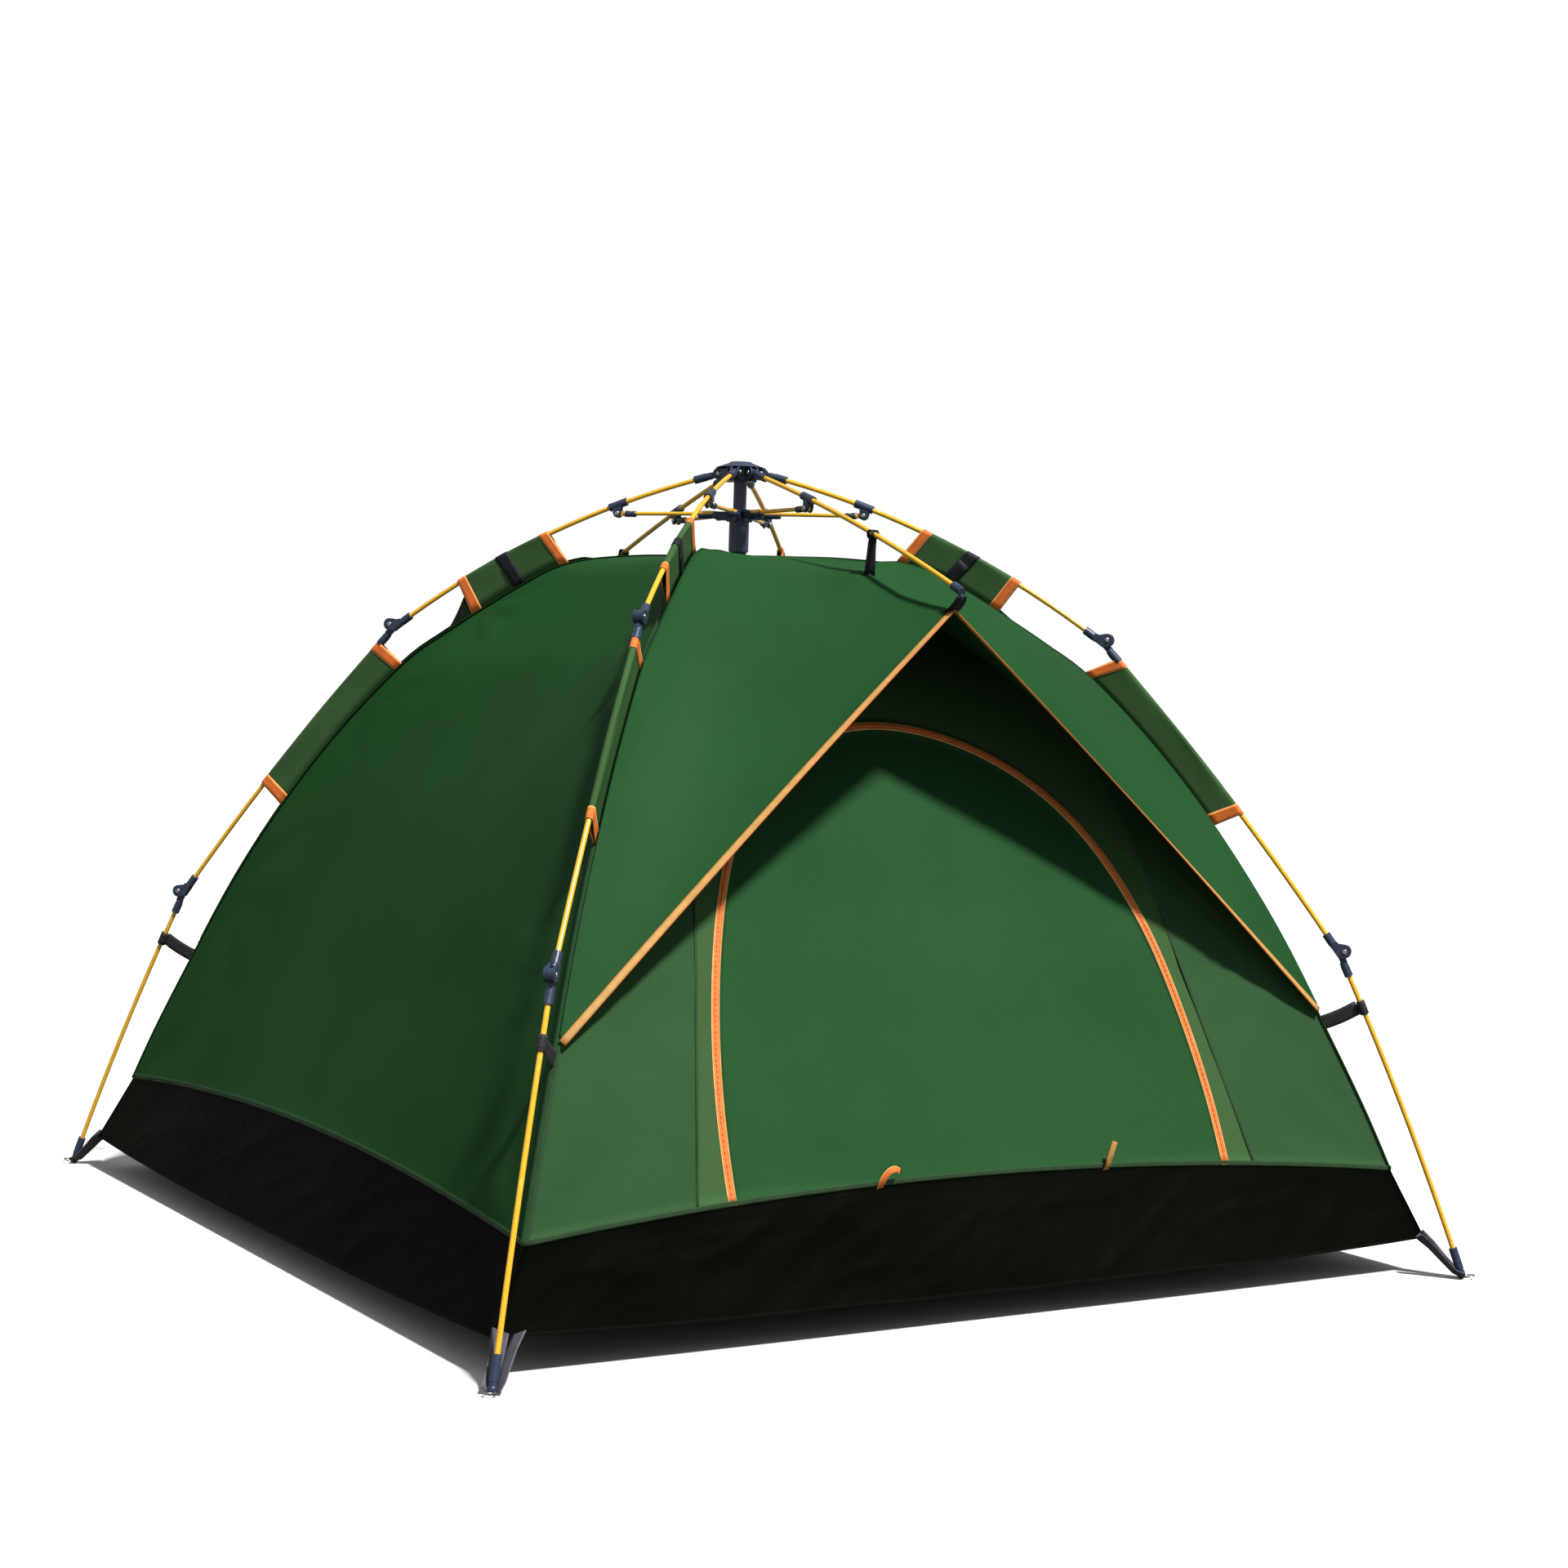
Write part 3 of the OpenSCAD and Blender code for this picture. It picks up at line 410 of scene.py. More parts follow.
def cloth(name, p, uv, material, thick=0.9, flip=False):
    """Sheet with a real thickness from a grid of points (mm) and their UVs (m)."""
    n = normals_of(p) * (-1 if flip else 1)
    rows, cols = p.shape[:2]
    outer = (p + n * thick / 2).reshape(-1, 3)
    inner = (p - n * thick / 2).reshape(-1, 3)
    k = rows * cols
    ids = np.arange(k).reshape(rows, cols)
    quads = np.stack([ids[:-1, :-1], ids[:-1, 1:], ids[1:, 1:], ids[1:, :-1]], -1).reshape(-1, 4)
    if flip:
        quads = quads[:, ::-1]
    ring = np.concatenate([ids[0, :-1], ids[:-1, -1], ids[-1, :0:-1], ids[:0:-1, 0]])
    nxt = np.roll(ring, -1)
    rim = np.stack([ring, ring + k, nxt + k, nxt], -1)
    if flip:
        rim = rim[:, ::-1]
    faces = np.concatenate([quads[:, ::-1], quads + k, rim])
    uvs = np.concatenate([uv.reshape(-1, 2)] * 2)
    return obj_from(name, np.concatenate([outer, inner]), faces, uvs, material)


# A strap's cross-section: across, through (-1 to 1), and the UV across
STRAP_SECTION = [
    (-0.5, 0.0, 0), (-0.47, 1, 0.03), (-0.2, 1, 0.3), (0.2, 1, 0.7), (0.47, 1, 0.97),
    (0.5, 0.0, 1), (0.47, -1, 0.97), (0.2, -1, 0.7), (-0.2, -1, 0.3), (-0.47, -1, 0.03)]


def ribbon(name, path, across, width, thick, material, closed=False):
    """Flat strap with thin edges along a path (mm); `across` is its width's direction."""
    path = np.asarray(path, float)
    across = np.broadcast_to(np.asarray(across, float), path.shape)
    tangent, dist = run_of(path, closed)
    a = across - tangent * np.sum(across * tangent, 1, keepdims=True)
    a /= np.linalg.norm(a, axis=1, keepdims=True)
    n = np.cross(a, tangent)
    w = np.broadcast_to(np.asarray(width, float), (len(path),))[:, None]
    rings = [path + a * w * x + n * (thick / 2) * y for x, y, _ in STRAP_SECTION]
    verts = np.stack(rings, 1).reshape(-1, 3)
    uvs = [(d, v) for d in dist for _, _, v in STRAP_SECTION]
    return obj_from(name, verts, skin(len(path), len(STRAP_SECTION), closed), uvs, material)


def tube_along(name, path, radius, material, sides=12, closed=False):
    """Round tube or wire along a path (mm), with a radius that may change along it."""
    path = np.asarray(path, float)
    tangent, dist = run_of(path, closed)
    ref = np.array([0.0, 0.0, 1.0]) if abs(tangent[0][2]) < 0.9 else np.array([1.0, 0.0, 0.0])
    side = []
    for t in tangent:
        ref = ref - t * (ref @ t)
        ref /= np.linalg.norm(ref)
        side.append(ref.copy())
    side = np.array(side)
    other = np.cross(tangent, side)
    r = np.broadcast_to(np.asarray(radius, float), (len(path),))
    ang = np.arange(sides) * 2 * PI / sides
    out = np.cos(ang)[None, :, None] * side[:, None] + np.sin(ang)[None, :, None] * other[:, None]
    verts = (path[:, None] + r[:, None, None] * out).reshape(-1, 3)
    uvs = [(d, a / (2 * PI)) for d in dist for a in ang]
    return obj_from(name, verts, skin(len(path), sides, closed), uvs, material)


def turned(name, centre, axis, profile, material, sides=28):
    """Lathed piece: profile is [radius, distance along the axis] in mm from the centre."""
    axis = np.asarray(axis, float) / np.linalg.norm(axis)
    ref = np.array([0.0, 0.0, 1.0]) if abs(axis[2]) < 0.9 else np.array([1.0, 0.0, 0.0])
    a = np.cross(axis, ref)
    a /= np.linalg.norm(a)
    b = np.cross(axis, a)
    verts, uvs = [], []
    for r, h in profile:
        for g in np.arange(sides) * 2 * PI / sides:
            out = math.cos(g) * a + math.sin(g) * b
            verts.append(np.asarray(centre) + axis * h + r * out)
            uvs.append((g * r * MM, h * MM))
    return obj_from(name, verts, skin(len(profile), sides), uvs, material)


def join(name, parts):
    """Joins pieces into the first one, keeping their materials."""
    ctx = bpy.context
    for o in ctx.view_layer.objects:
        o.select_set(False)
    for o in parts:
        o.select_set(True)
    ctx.view_layer.objects.active = parts[0]
    bpy.ops.object.join()
    parts[0].name = name
    parts[0].data.name = name
    return parts[0]


soft = []


def fabric(obj, slot, *replaced):
    """A piece of the sewn tent: hides the frame's nodes that it replaces, and rides on the fabric
    body.
    """
    if replaced:
        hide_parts(*replaced)
    soft.append(obj)
    return obj


# ---- canopy
WALL_HALF = 0.7  # half a wall's width, as a share of the ridge's distance from the mast
# Where straps and sleeves pull on the ridges: the share of the way up, and the reach in mm
PULLS = ((0.20, 190), (0.395, 120), (0.565, 110), (0.0, 200), (0.255, 90))


def wall_uv(u, t):
    """Metres across and up a wall, so that the weave keeps its size."""
    ridge = ridge_at(t)
    rise = np.concatenate([[0], np.cumsum(np.linalg.norm(np.diff(ridge, axis=0), axis=1))])
    across = (ridge[:, 0] * WALL_HALF)[:, None] * u[None, :]
    return np.stack([across, np.repeat(rise[:, None], len(u), 1)], -1) * MM


def eased(p, seed, size, amp):
    """Adds the cloth's unevenness along its normal, none of it at the two ridges."""
    c = np.linspace(-1, 1, p.shape[1])
    h = waves(p, seed, size, amp) + waves(p, seed + 9, size / 3, amp * 0.25)
    return displaced(p, (1 - c**8) * h)


def tension(p, seed, amp=3.0):
    """Short folds that run out from the points where straps and sleeves pull on the ridges."""
    h = np.zeros(p.shape[:-1])
    rng = np.random.RandomState(seed)
    for angle in LEGS.values():
        for t, reach in PULLS:
            d = p - leg(angle, ridge_at(t))
            near = np.linalg.norm(d, axis=-1) / reach
            turn = np.arctan2(d[..., 2], np.hypot(d[..., 0], d[..., 1]))
            folds = np.sin(turn * rng.uniform(9, 14) + rng.uniform(0, 6))
            h += amp * np.exp(-near ** 2) * near * 2 * folds
    return h


def canopy_side(name, side, t0, seed):
    """One wall, from a share t0 of the way up its ridges to the crown's disc."""
    u = np.linspace(-1, 1, 73)
    rows = 84 if t0 == 0 else 22
    t = np.concatenate([np.linspace(t0, 0.93, rows), np.linspace(0.94, 0.992, 8)])
    p = wall(side, u[None, :], t[:, None])
    q = eased(p, seed, 520, 2.2)
    q = q + normals_of(p) * (tension(p, seed) * (1 - u**10)[None, :])[..., None]
    return cloth(name, q, wall_uv(u, t), GREEN)


panels = [canopy_side("canopy_shell", 180, 0.0, 3), canopy_side("canopy_r", 0, 0.0, 5),
          canopy_side("canopy_b", 90, 0.0, 7), canopy_side("canopy_f", FRONT, ROOF_T - 0.02, 11)]
disc = [(44, -1.2), (46, -0.4), (44, 0.9), (26, 1.6), (12, 1.9), (1, 1.9)]
crown = turned("crown", (0, 0, 1365.2), (0, 0, 1), disc, GREEN, 40)
canopy = fabric(join("canopy_shell", panels + [crown]), "green_canopy",
                "canopy_left", "canopy_right", "canopy_back")

# ---- front wall, door and zip
DOOR_HALF, DOOR_T = 534.0, 0.375  # half width in mm, and height as a share of the way up
HEAD = 0.42  # share of the arch, at its middle, that faces the roof's edge


def half_wall(t):
    """Half the front wall's width, at a share t of the way up."""
    return ridge_at(t)[..., 0] * math.cos(LEG)


def door_arch(a, grow):
    """The door's arch in the wall's u and t, for a from -1 to 1 along it."""
    s = np.asarray(a, float) * PI / 2
    t = (DOOR_T + grow * 0.55) * np.maximum(0, np.cos(s)) ** 0.75
    half = (DOOR_HALF + grow * 1300) * np.abs(np.sin(s))
    return np.sign(a) * half / half_wall(t), t


# The front wall spans from the arch to the ridges and the roof's edge
a = np.linspace(-1, 1, 161)
s = np.abs(a)
u0, t0 = door_arch(a, 0.006)
u1 = np.where(s > HEAD, np.sign(a), a / HEAD)
t1 = np.where(s > HEAD, ROOF_T * (1 - s) / (1 - HEAD), ROOF_T)
f = np.linspace(0, 1, 34)[:, None] ** 1.15
p = wall(FRONT, u0 * (1 - f) + u1 * f, t0 * (1 - f) + t1 * f)
fade = np.minimum(1, np.minimum(f * 7, (1 - f) * 7))
folds = waves(p, 21, 380, 2.4) + creases(p, 22, 210, 3.0, (0, 0.3, 1)) + tension(p, 23, 2.0)
p = displaced(p, fade * folds)
front = fabric(cloth("front_wall", p, p[..., [0, 2]] * MM, OLIVE, flip=True),
               "green_canopy", "canopy_front")

# The door's cloth fills the arch, and sinks in a little at its middle
DOOR_BELLY_HALF = 560
a = np.linspace(-1, 1, 121)
u0, t0 = door_arch(a, -0.004)
f = np.linspace(0.004, 1, 46)[:, None]
p = wall(FRONT, u0 * f, t0 * f)
x, z = p[..., 0], p[..., 2]
fade = np.minimum(1, (1 - f) * 6) * np.minimum(1, (z - 235) / 90)
belly = 7 * np.sin(PI * np.clip((z - 240) / 780, 0, 1))
belly = belly * np.cos(np.clip(x / DOOR_BELLY_HALF, -1, 1) * PI / 2)
drape = creases(p, 31, 260, 5.5, (0.15, 0.3, 1)) + waves(p, 33, 420, 2.6) + waves(p, 35, 130, 0.7)
p = displaced(p, np.clip(fade, 0, 1) * (drape - belly))
door = fabric(cloth("door_cloth", p, p[..., [0, 2]] * MM, DOOR_GREEN, flip=True),
              "green_canopy", "door_panel")


def outward(p):
    """Direction away from the tent's middle, for pieces that lie on the cloth."""
    d = np.asarray(p, float) - np.array([0.0, 0.0, 500.0])
    return d / np.linalg.norm(d, axis=-1, keepdims=True)


# The zip's tape along the arch, with its coil
a = np.linspace(-1, 1, 181)
line = wall(FRONT, *door_arch(a, 0.001))
step = wall(FRONT, *door_arch(a, 0.008)) - line
zip_tape = ribbon("door_zip_tape", line + outward(line) * 1.8, step, 17.5, 1.6, ZIP_TAPE)
fine = np.linspace(-0.996, 0.996, 1201)
line = wall(FRONT, *door_arch(fine, 0.001))
teeth = 1.5 + 0.5 * np.sin(np.arange(len(fine)) * PI / 2)
coil = tube_along("door_zip_coil", line + outward(line) * 3.0, teeth, COIL, 8)
fabric(join("door_zip_tape", [zip_tape, coil]), "orange_tape", "door_zip")

# Upright seams either side of the door; halving finds each point's share of the way up
seams = []
for side in (-1, 1):
    pts = []
    for z in np.linspace(231, 880, 76):
        x = side * (SEAM_FOOT - z * SEAM_LEAN)
        lo, hi = 0.0, 0.6
        for _ in range(24):
            mid = (lo + hi) / 2
            lo, hi = (mid, hi) if wall(FRONT, x / half_wall(mid), mid)[2] < z else (lo, mid)
        if abs(x / half_wall(lo)) < 0.96:
            pts.append(wall(FRONT, x / half_wall(lo), lo))
    path = np.array(pts) + outward(pts) * 1.9
    name = f"front_seam_{'left' if side < 0 else 'right'}"
    seams.append(ribbon(name, path, (1, 0, 0), 4.5, 1.0, STITCH))
fabric(join("front_seams", seams), "green_canopy")

# Felled seam along each ridge
felled = []
for name, angle in LEGS.items():
    q = leg(angle, ridge_at(np.linspace(0.0, 0.985, 150)))
    across = (-math.sin(angle), math.cos(angle), 0)
    felled.append(ribbon(f"ridge_seam_{name}", q + outward(q) * 1.4, across, 13, 2.2, DARK_SEAM))
fabric(join("ridge_seams", felled), "green_canopy")

# ---- tub and groundsheet
TUB_HEIGHT = 0.2  # in metres, for the weave's scale
u = np.linspace(-1, 1, 141)
f = np.linspace(0, 1, 26)[:, None]
tub_sides = []
for side in SIDES:
    e = FLOOR * u
    one = np.full_like(u, FLOOR)
    x, y = {0: (one, e), 90: (-e, one), 180: (-one, -e), 270: (e, -one)}[side]
    low = np.stack([x, y, EDGE_Z + (CORNER_Z - EDGE_Z) * np.abs(u) ** 3], -1)
    p = low * (1 - f[..., None]) + wall(side, u, 0.0) * f[..., None]
    n = normals_of(p)
    middle = (10, 70)
    if n[middle] @ outward(p[middle]) < 0:
        n = -n
    fade = np.sin(PI * f) ** 0.6 * (1 - u**12)
    along = {0: (0, 1, 0.5), 90: (1, 0, 0.5), 180: (0, 1, -0.5), 270: (1, 0, 0.45)}[side]
    h = creases(p, 50 + side, 150, 9, along) + creases(p, 51 + side, 70, 4, along)
    h += waves(p, 52 + side, 300, 3.0) - 4
    tub_uv = np.stack(np.broadcast_arrays(u, f * TUB_HEIGHT), -1)
    tub_sides.append(cloth(f"tub_{side}", p + n * (h * fade)[..., None], tub_uv, BLACK_CLOTH))
tub = fabric(join("tub_cloth", tub_sides), "black_fabric", "tub_walls")

# Groundsheet: flat in the middle, and up to the foot of the tub's wall at its edge
g = np.linspace(-1, 1, 91)
X, Y = np.meshgrid(g * FLOOR, g * FLOOR)
e = np.maximum(np.abs(X), np.abs(Y)) / FLOOR
c = np.minimum(np.abs(X), np.abs(Y)) / FLOOR
rise = np.maximum(0, (e - 0.5) / 0.5)
Z = rise**2 * (EDGE_Z + (CORNER_Z - EDGE_Z) * c**3)
p = np.stack([X, Y, Z + 1.0], -1)
folds = creases(p, 61, 240, 6, (1, 0.4, 0)) + waves(p, 62, 400, 1.5)
p[..., 2] += np.clip((1 - e) * 8, 0, 1) * np.maximum(0, folds)
ground = fabric(cloth("groundsheet_cloth", p, p[..., :2] * MM, BLACK_CLOTH),
                "black_fabric", "groundsheet")

# Stitched band where the canopy meets the tub
q = np.concatenate([wall(side, np.linspace(-1, 1, 91)[:-1], 0.002) for side in SIDES])
flat_out = q * np.array([1, 1, 0])
flat_out /= np.linalg.norm(flat_out, axis=1, keepdims=True)
path = q + flat_out * 2.2 + np.array([0, 0, 1.0])
fabric(ribbon("tub_seam_band", path, (-0.1, -0.1, 1.0), 10, 1.8, SEAM_GREEN, closed=True),
       "green_canopy")

# ---- awnings
FOOT_T = 0.149  # where the hem's ends meet the ridges, as a share of the way up
PEAK = np.array([0.0, -757.0, 1236.0])
ROOF_SEAM = 0.3  # share of the awning's width, at its middle, that is sewn to the roof's edge
# The fold down the middle: how high it stands, from the roof's edge to the peak
FOLD_AT = (0, 0.12, 0.25, 0.38, 0.47, 0.56, 0.68, 0.82, 1)
FOLD_HEIGHT = (0, 4, 9, 15, 19, 11, 2, -2, 0)
STRAP_AT = 0.47
# Webbing from the pole's end down to the peak, and its widths
PEAK_STRAP = ((0, -789, 1268), (0, -786, 1262), (0, -779, 1254),
              (0, -770, 1247), (0, -760, 1242), (0, -748, 1241))
PEAK_WIDTHS = (22, 25, 28, 29, 30, 30)
# Webbing from the awning's fold up to the pole, and its widths
MID_STRAP = ((0, -487, 1313), (0, -489, 1330), (0, -491, 1352), (0, -493, 1374))
MID_WIDTHS = (26, 24, 21, 19, 18)
MID_STRAP_Y, MID_LOOP_R = -495, 8.2


def awning_root(v):
    """Where the awning is sewn on: up the ridges, and along the roof's edge in the middle."""
    s = np.abs(v)
    up = FOOT_T + (ROOF_T - FOOT_T) * (1 - s) / (1 - ROOF_SEAM)
    t = np.where(s > ROOF_SEAM, up, ROOF_T)
    u = np.where(s > ROOF_SEAM, np.sign(v), v / ROOF_SEAM)
    return wall(FRONT, u, t)


def awning_edge(v):
    """The hem, from the peak down to the ridges."""
    s = np.abs(v)[..., None]
    foot = wall(FRONT, np.where(v < 0, -1.0, 1.0), FOOT_T)
    out = PEAK + (foot - PEAK) * s
    out[..., 2] += 8 * np.sin(PI * s[..., 0])
    return out


def awning_point(v, w):
    """Point of the front awning: v is -1 to 1 across it, w is 0 to 1 from its root to its hem."""
    v, w = np.broadcast_arrays(np.asarray(v, float), np.asarray(w, float))
    p = awning_root(v) * (1 - w[..., None]) + awning_edge(v) * w[..., None]
    narrow = np.exp(-(v / (0.05 + 0.22 * np.abs(w - STRAP_AT) + 0.03)) ** 2)
    sag = -13 * np.sin(PI * w) * np.sin(PI * np.minimum(1, np.abs(v) * 1.15))
    up = 7.5 + np.interp(w, FOLD_AT, FOLD_HEIGHT) * narrow + sag
    return p + np.stack([0 * v, -6 + 0 * v, up], -1)


def make_awning(name, turn, node_name):
    """An awning with its hem, turned to its side of the tent; gives back its webbing."""
    c, s = math.cos(turn), math.sin(turn)
    spin = np.array([[c, s, 0], [-s, c, 0], [0, 0, 1]])
    v = np.linspace(-0.992, 0.992, 125)
    v = np.sign(v) * np.abs(v) ** 1.25
    w = np.linspace(0, 1, 42)[:, None]
    p = awning_point(v, w)
    edge = np.minimum(1, np.minimum(w * 6, (1 - w) * 6)) * np.minimum(1, (1 - np.abs(v)) * 8)
    p = displaced(p, edge * (waves(p, 71, 300, 1.8) + waves(p, 73, 110, 0.5)))
    o = cloth(name, p @ spin, p[..., :2] * MM, AWNING_GREEN, flip=True)
    fabric(o, "awning_fabric", node_name)
    v = np.linspace(-0.99, 0.99, 141)
    rim = awning_point(v, 1.0)
    tape = ribbon(name + "_tape", rim @ spin, (rim - awning_point(v, 0.97)) @ spin,
                  14, 2.6, GOLD_TAPE)
    fabric(tape, "orange_tape")
    hook = ribbon(name + "_hook", PEAK_STRAP @ spin, (1, 0, 0), PEAK_WIDTHS, 1.8, BLACK_WEB)
    share = (-MID_STRAP_Y - HUB_P[0]) / (AWNING_P[0] - HUB_P[0])
    pole_z = AWNING_ARC.at(share)[1]
    path = np.array([*MID_STRAP, (0, MID_STRAP_Y, pole_z - 9)])
    strap = ribbon(name + "_strap", path @ spin, (1, 0, 0), MID_WIDTHS, 1.8, BLACK_WEB)
    ang = np.linspace(0, 2 * PI, 21)[:-1]
    ring = np.stack([0 * ang, MID_STRAP_Y + MID_LOOP_R * np.sin(ang),
                     pole_z + MID_LOOP_R * np.cos(ang)], -1)
    loop = ribbon(name + "_strap_loop", ring @ spin, (1, 0, 0), 18, 1.4, BLACK_WEB, closed=True)
    return [hook, strap, loop]


bits = make_awning("front_awning_cloth", 0.0, "front_awning")
bits += make_awning("rear_awning_cloth", PI, "rear_awning")
fabric(join("awning_webbing", bits), "black_webbing", "awning_straps")

# ---- pole sleeves
SLEEVE_TOP, SLEEVE_LOW = 6.3, 1.0  # half widths round the pole and at the ridge
UP_RIDGE = np.array([1.0, 1.0])  # lifts a sleeve's lower edge clear of the cloth


def web_profile(top, low, half_top, half_low):
    """Outline of a sleeve's cross-section, round the pole and down to the ridge.

    Each point is ([distance from the mast, height], sideways)."""
    d = top - low
    reach = np.linalg.norm(d)
    d = d / reach
    sides = [(reach * f, half_low + (half_top - half_low) * f ** 1.3)
             for f in (0.0, 0.3, 0.6, 0.85)]
    out = [(low + d * up, -half) for up, half in sides]
    for g in np.radians(np.linspace(-100, 100, 11)):
        out.append((top + d * half_top * math.cos(g), half_top * math.sin(g)))
    out += [(low + d * up, half) for up, half in reversed(sides)]
    return out


def sleeve_piece(name, angle, ends, x0, x1, material, grow=0.0, steps=26, wave=0.0):
    """The part of a sleeve between the shares x0 and x1 of its length, `grow` mm wider."""
    arc, ta, tb, ra, rb = ends
    t0, t1 = (ta + (tb - ta) * x for x in (x0, x1))
    r0, r1 = (ra + (rb - ra) * x for x in (x0, x1))
    rings, uvs = [], []
    for k in range(steps + 1):
        s = k / steps
        top = arc.at(t0 + (t1 - t0) * s)
        low = ridge_at(r0 + (r1 - r0) * s) + UP_RIDGE
        section = web_profile(top, low, SLEEVE_TOP + grow, SLEEVE_LOW + grow)
        pts = []
        height = 0.0
        for i, (rz, y) in enumerate(section):
            bulge = wave * math.sin(s * 9 + i) * (1 if 0 < i < len(section) - 1 else 0)
            pts.append(leg(angle, rz, y + bulge))
            if i:
                height += np.linalg.norm(pts[-1] - pts[-2])
            uvs.append((s * (t1 - t0) * arc.length * MM, height * MM))
        rings.append(pts)
    m = len(rings[0])
    verts = np.array(rings).reshape(-1, 3)
    faces = [(i * m + c, i * m + c + 1, (i + 1) * m + c + 1, (i + 1) * m + c)
             for i in range(steps) for c in range(m - 1)]
    o = obj_from(name, verts, faces, uvs, material)
    mod = o.modifiers.new("cloth", "SOLIDIFY")
    mod.thickness = 0.0006
    mod.offset = 1
    bpy.context.view_layer.objects.active = o
    bpy.ops.object.modifier_apply(modifier="cloth")
    return o


# Each sleeve's shares along its pole, from one end to the other, then along the canopy's ridge
SLEEVES = {"upper": (ARM_ARC, 0.497, 0.772, 0.750, 0.555),
           "lower": (MID_ARC, 0.068, 0.585, 0.423, 0.279)}
# The front right leg's sleeves are sewn a little higher, as in the photograph
HIGHER = {"upper": (-0.040, -0.040, 0.034, 0.034), "lower": (-0.006, -0.028, 0.013, 0.015)}
BINDING = 17.0  # width in mm
TAB_FROM, TAB_TO, TAB_MIDDLE = 0.44, 0.57, 0.505  # shares of the upper sleeve's length
LOWER_SLEEVE_TOP = 0.421  # as a share of the way up the ridge


def sleeve_ends(leg_name, part):
    arc, *ends = SLEEVES[part]
    if leg_name == "front_right":
        ends = [e + more for e, more in zip(ends, HIGHER[part])]
    return arc, *ends


def tape_uv(piece):
    """Turns a binding's UV to the tape's own: along it is across the pole, and across is 0 to 1."""
    layer = piece.data.uv_layers[0].data
    uv = np.zeros(len(layer) * 2, np.float32)
    layer.foreach_get("uv", uv)
    uv = uv.reshape(-1, 2)
    start, span = uv[:, 0].min(), uv[:, 0].max() - uv[:, 0].min()
    uv = np.stack([uv[:, 1], (uv[:, 0] - start) / max(span, 1e-6)], -1)
    layer.foreach_set("uv", uv.astype(np.float32).ravel())


fins, binds, tabs = [], [], []
for leg_name, angle in LEGS.items():
    for part in SLEEVES:
        arc, ta, tb, ra, rb = ends = sleeve_ends(leg_name, part)
        fin = sleeve_piece(f"{leg_name}_{part}_sleeve", angle, ends, 0, 1, SLEEVE_GREEN, wave=0.5)
        fins.append((fabric(fin, "sleeve_fabric"), arc.length * (tb - ta)))
        share = BINDING / arc.length / (tb - ta)
        for end, (x0, x1) in {"top": (-0.02, share), "foot": (1 - share, 1.02)}.items():
            piece = sleeve_piece(f"{leg_name}_{part}_{end}_binding", angle, ends, x0, x1, ORANGE,
                                 grow=0.9, steps=4)
            tape_uv(piece)
            binds.append(piece)
    # Black tab half-way along the upper sleeve, with an end of webbing on each side
    arc, ta, tb, ra, rb = ends = sleeve_ends(leg_name, "upper")
    tabs.append(sleeve_piece(f"{leg_name}_tab", angle, ends, TAB_FROM, TAB_TO, BLACK_WEB,
                             grow=1.6, steps=5))
    high = arc.at(ta + (tb - ta) * TAB_MIDDLE)
    low = ridge_at(ra + (rb - ra) * TAB_MIDDLE)
    along = leg(angle, arc.at(tb)) - leg(angle, arc.at(ta))
    for y in (-1, 1):
        q0 = leg(angle, low * 0.95 + high * 0.05, y * 3.4)
        q1 = leg(angle, low * 0.25 + high * 0.75, y * 7.0)
        path = np.linspace(q0, q1, 5)
        tabs.append(ribbon(f"{leg_name}_tab_end{y}", path, along, 24, 2.0, BLACK_WEB))
    # Low mesh web behind the upper elbow, between the two sleeves
    tallest = 12 if leg_name == "front_right" else 44
    up = np.array([0.62, 0.78])
    steps = 18
    rows = []
    for k in range(steps + 1):
        s = k / steps
        base = ridge_at(rb + 0.004 + (LOWER_SLEEVE_TOP - rb) * s)
        tall = 3 + tallest * max(0.0, 1 - s / 0.4) ** 1.2
        rows.append([leg(angle, base + up * tall * h, 1.2 * math.sin(3 * s + h))
                     for h in np.linspace(0, 1, 6)])
    uv = np.stack(np.meshgrid(np.linspace(0, 0.05, 6), np.linspace(0, 0.3, steps + 1)), -1)
    tabs.append(cloth(f"{leg_name}_gusset", np.array(rows), uv, MESH_CLOTH, thick=1.0))
fabric(join("sleeve_bindings", binds), "orange_tape", "pole_sleeves")
fabric(join("sleeve_tabs", tabs), "black_webbing")

# ---- straps to the legs and feet
STRAP_Z, LEG_LOOP_R = 511.0, 7.6
STRAP_DROP = 36  # how much lower a strap leaves the canopy than it meets the pole
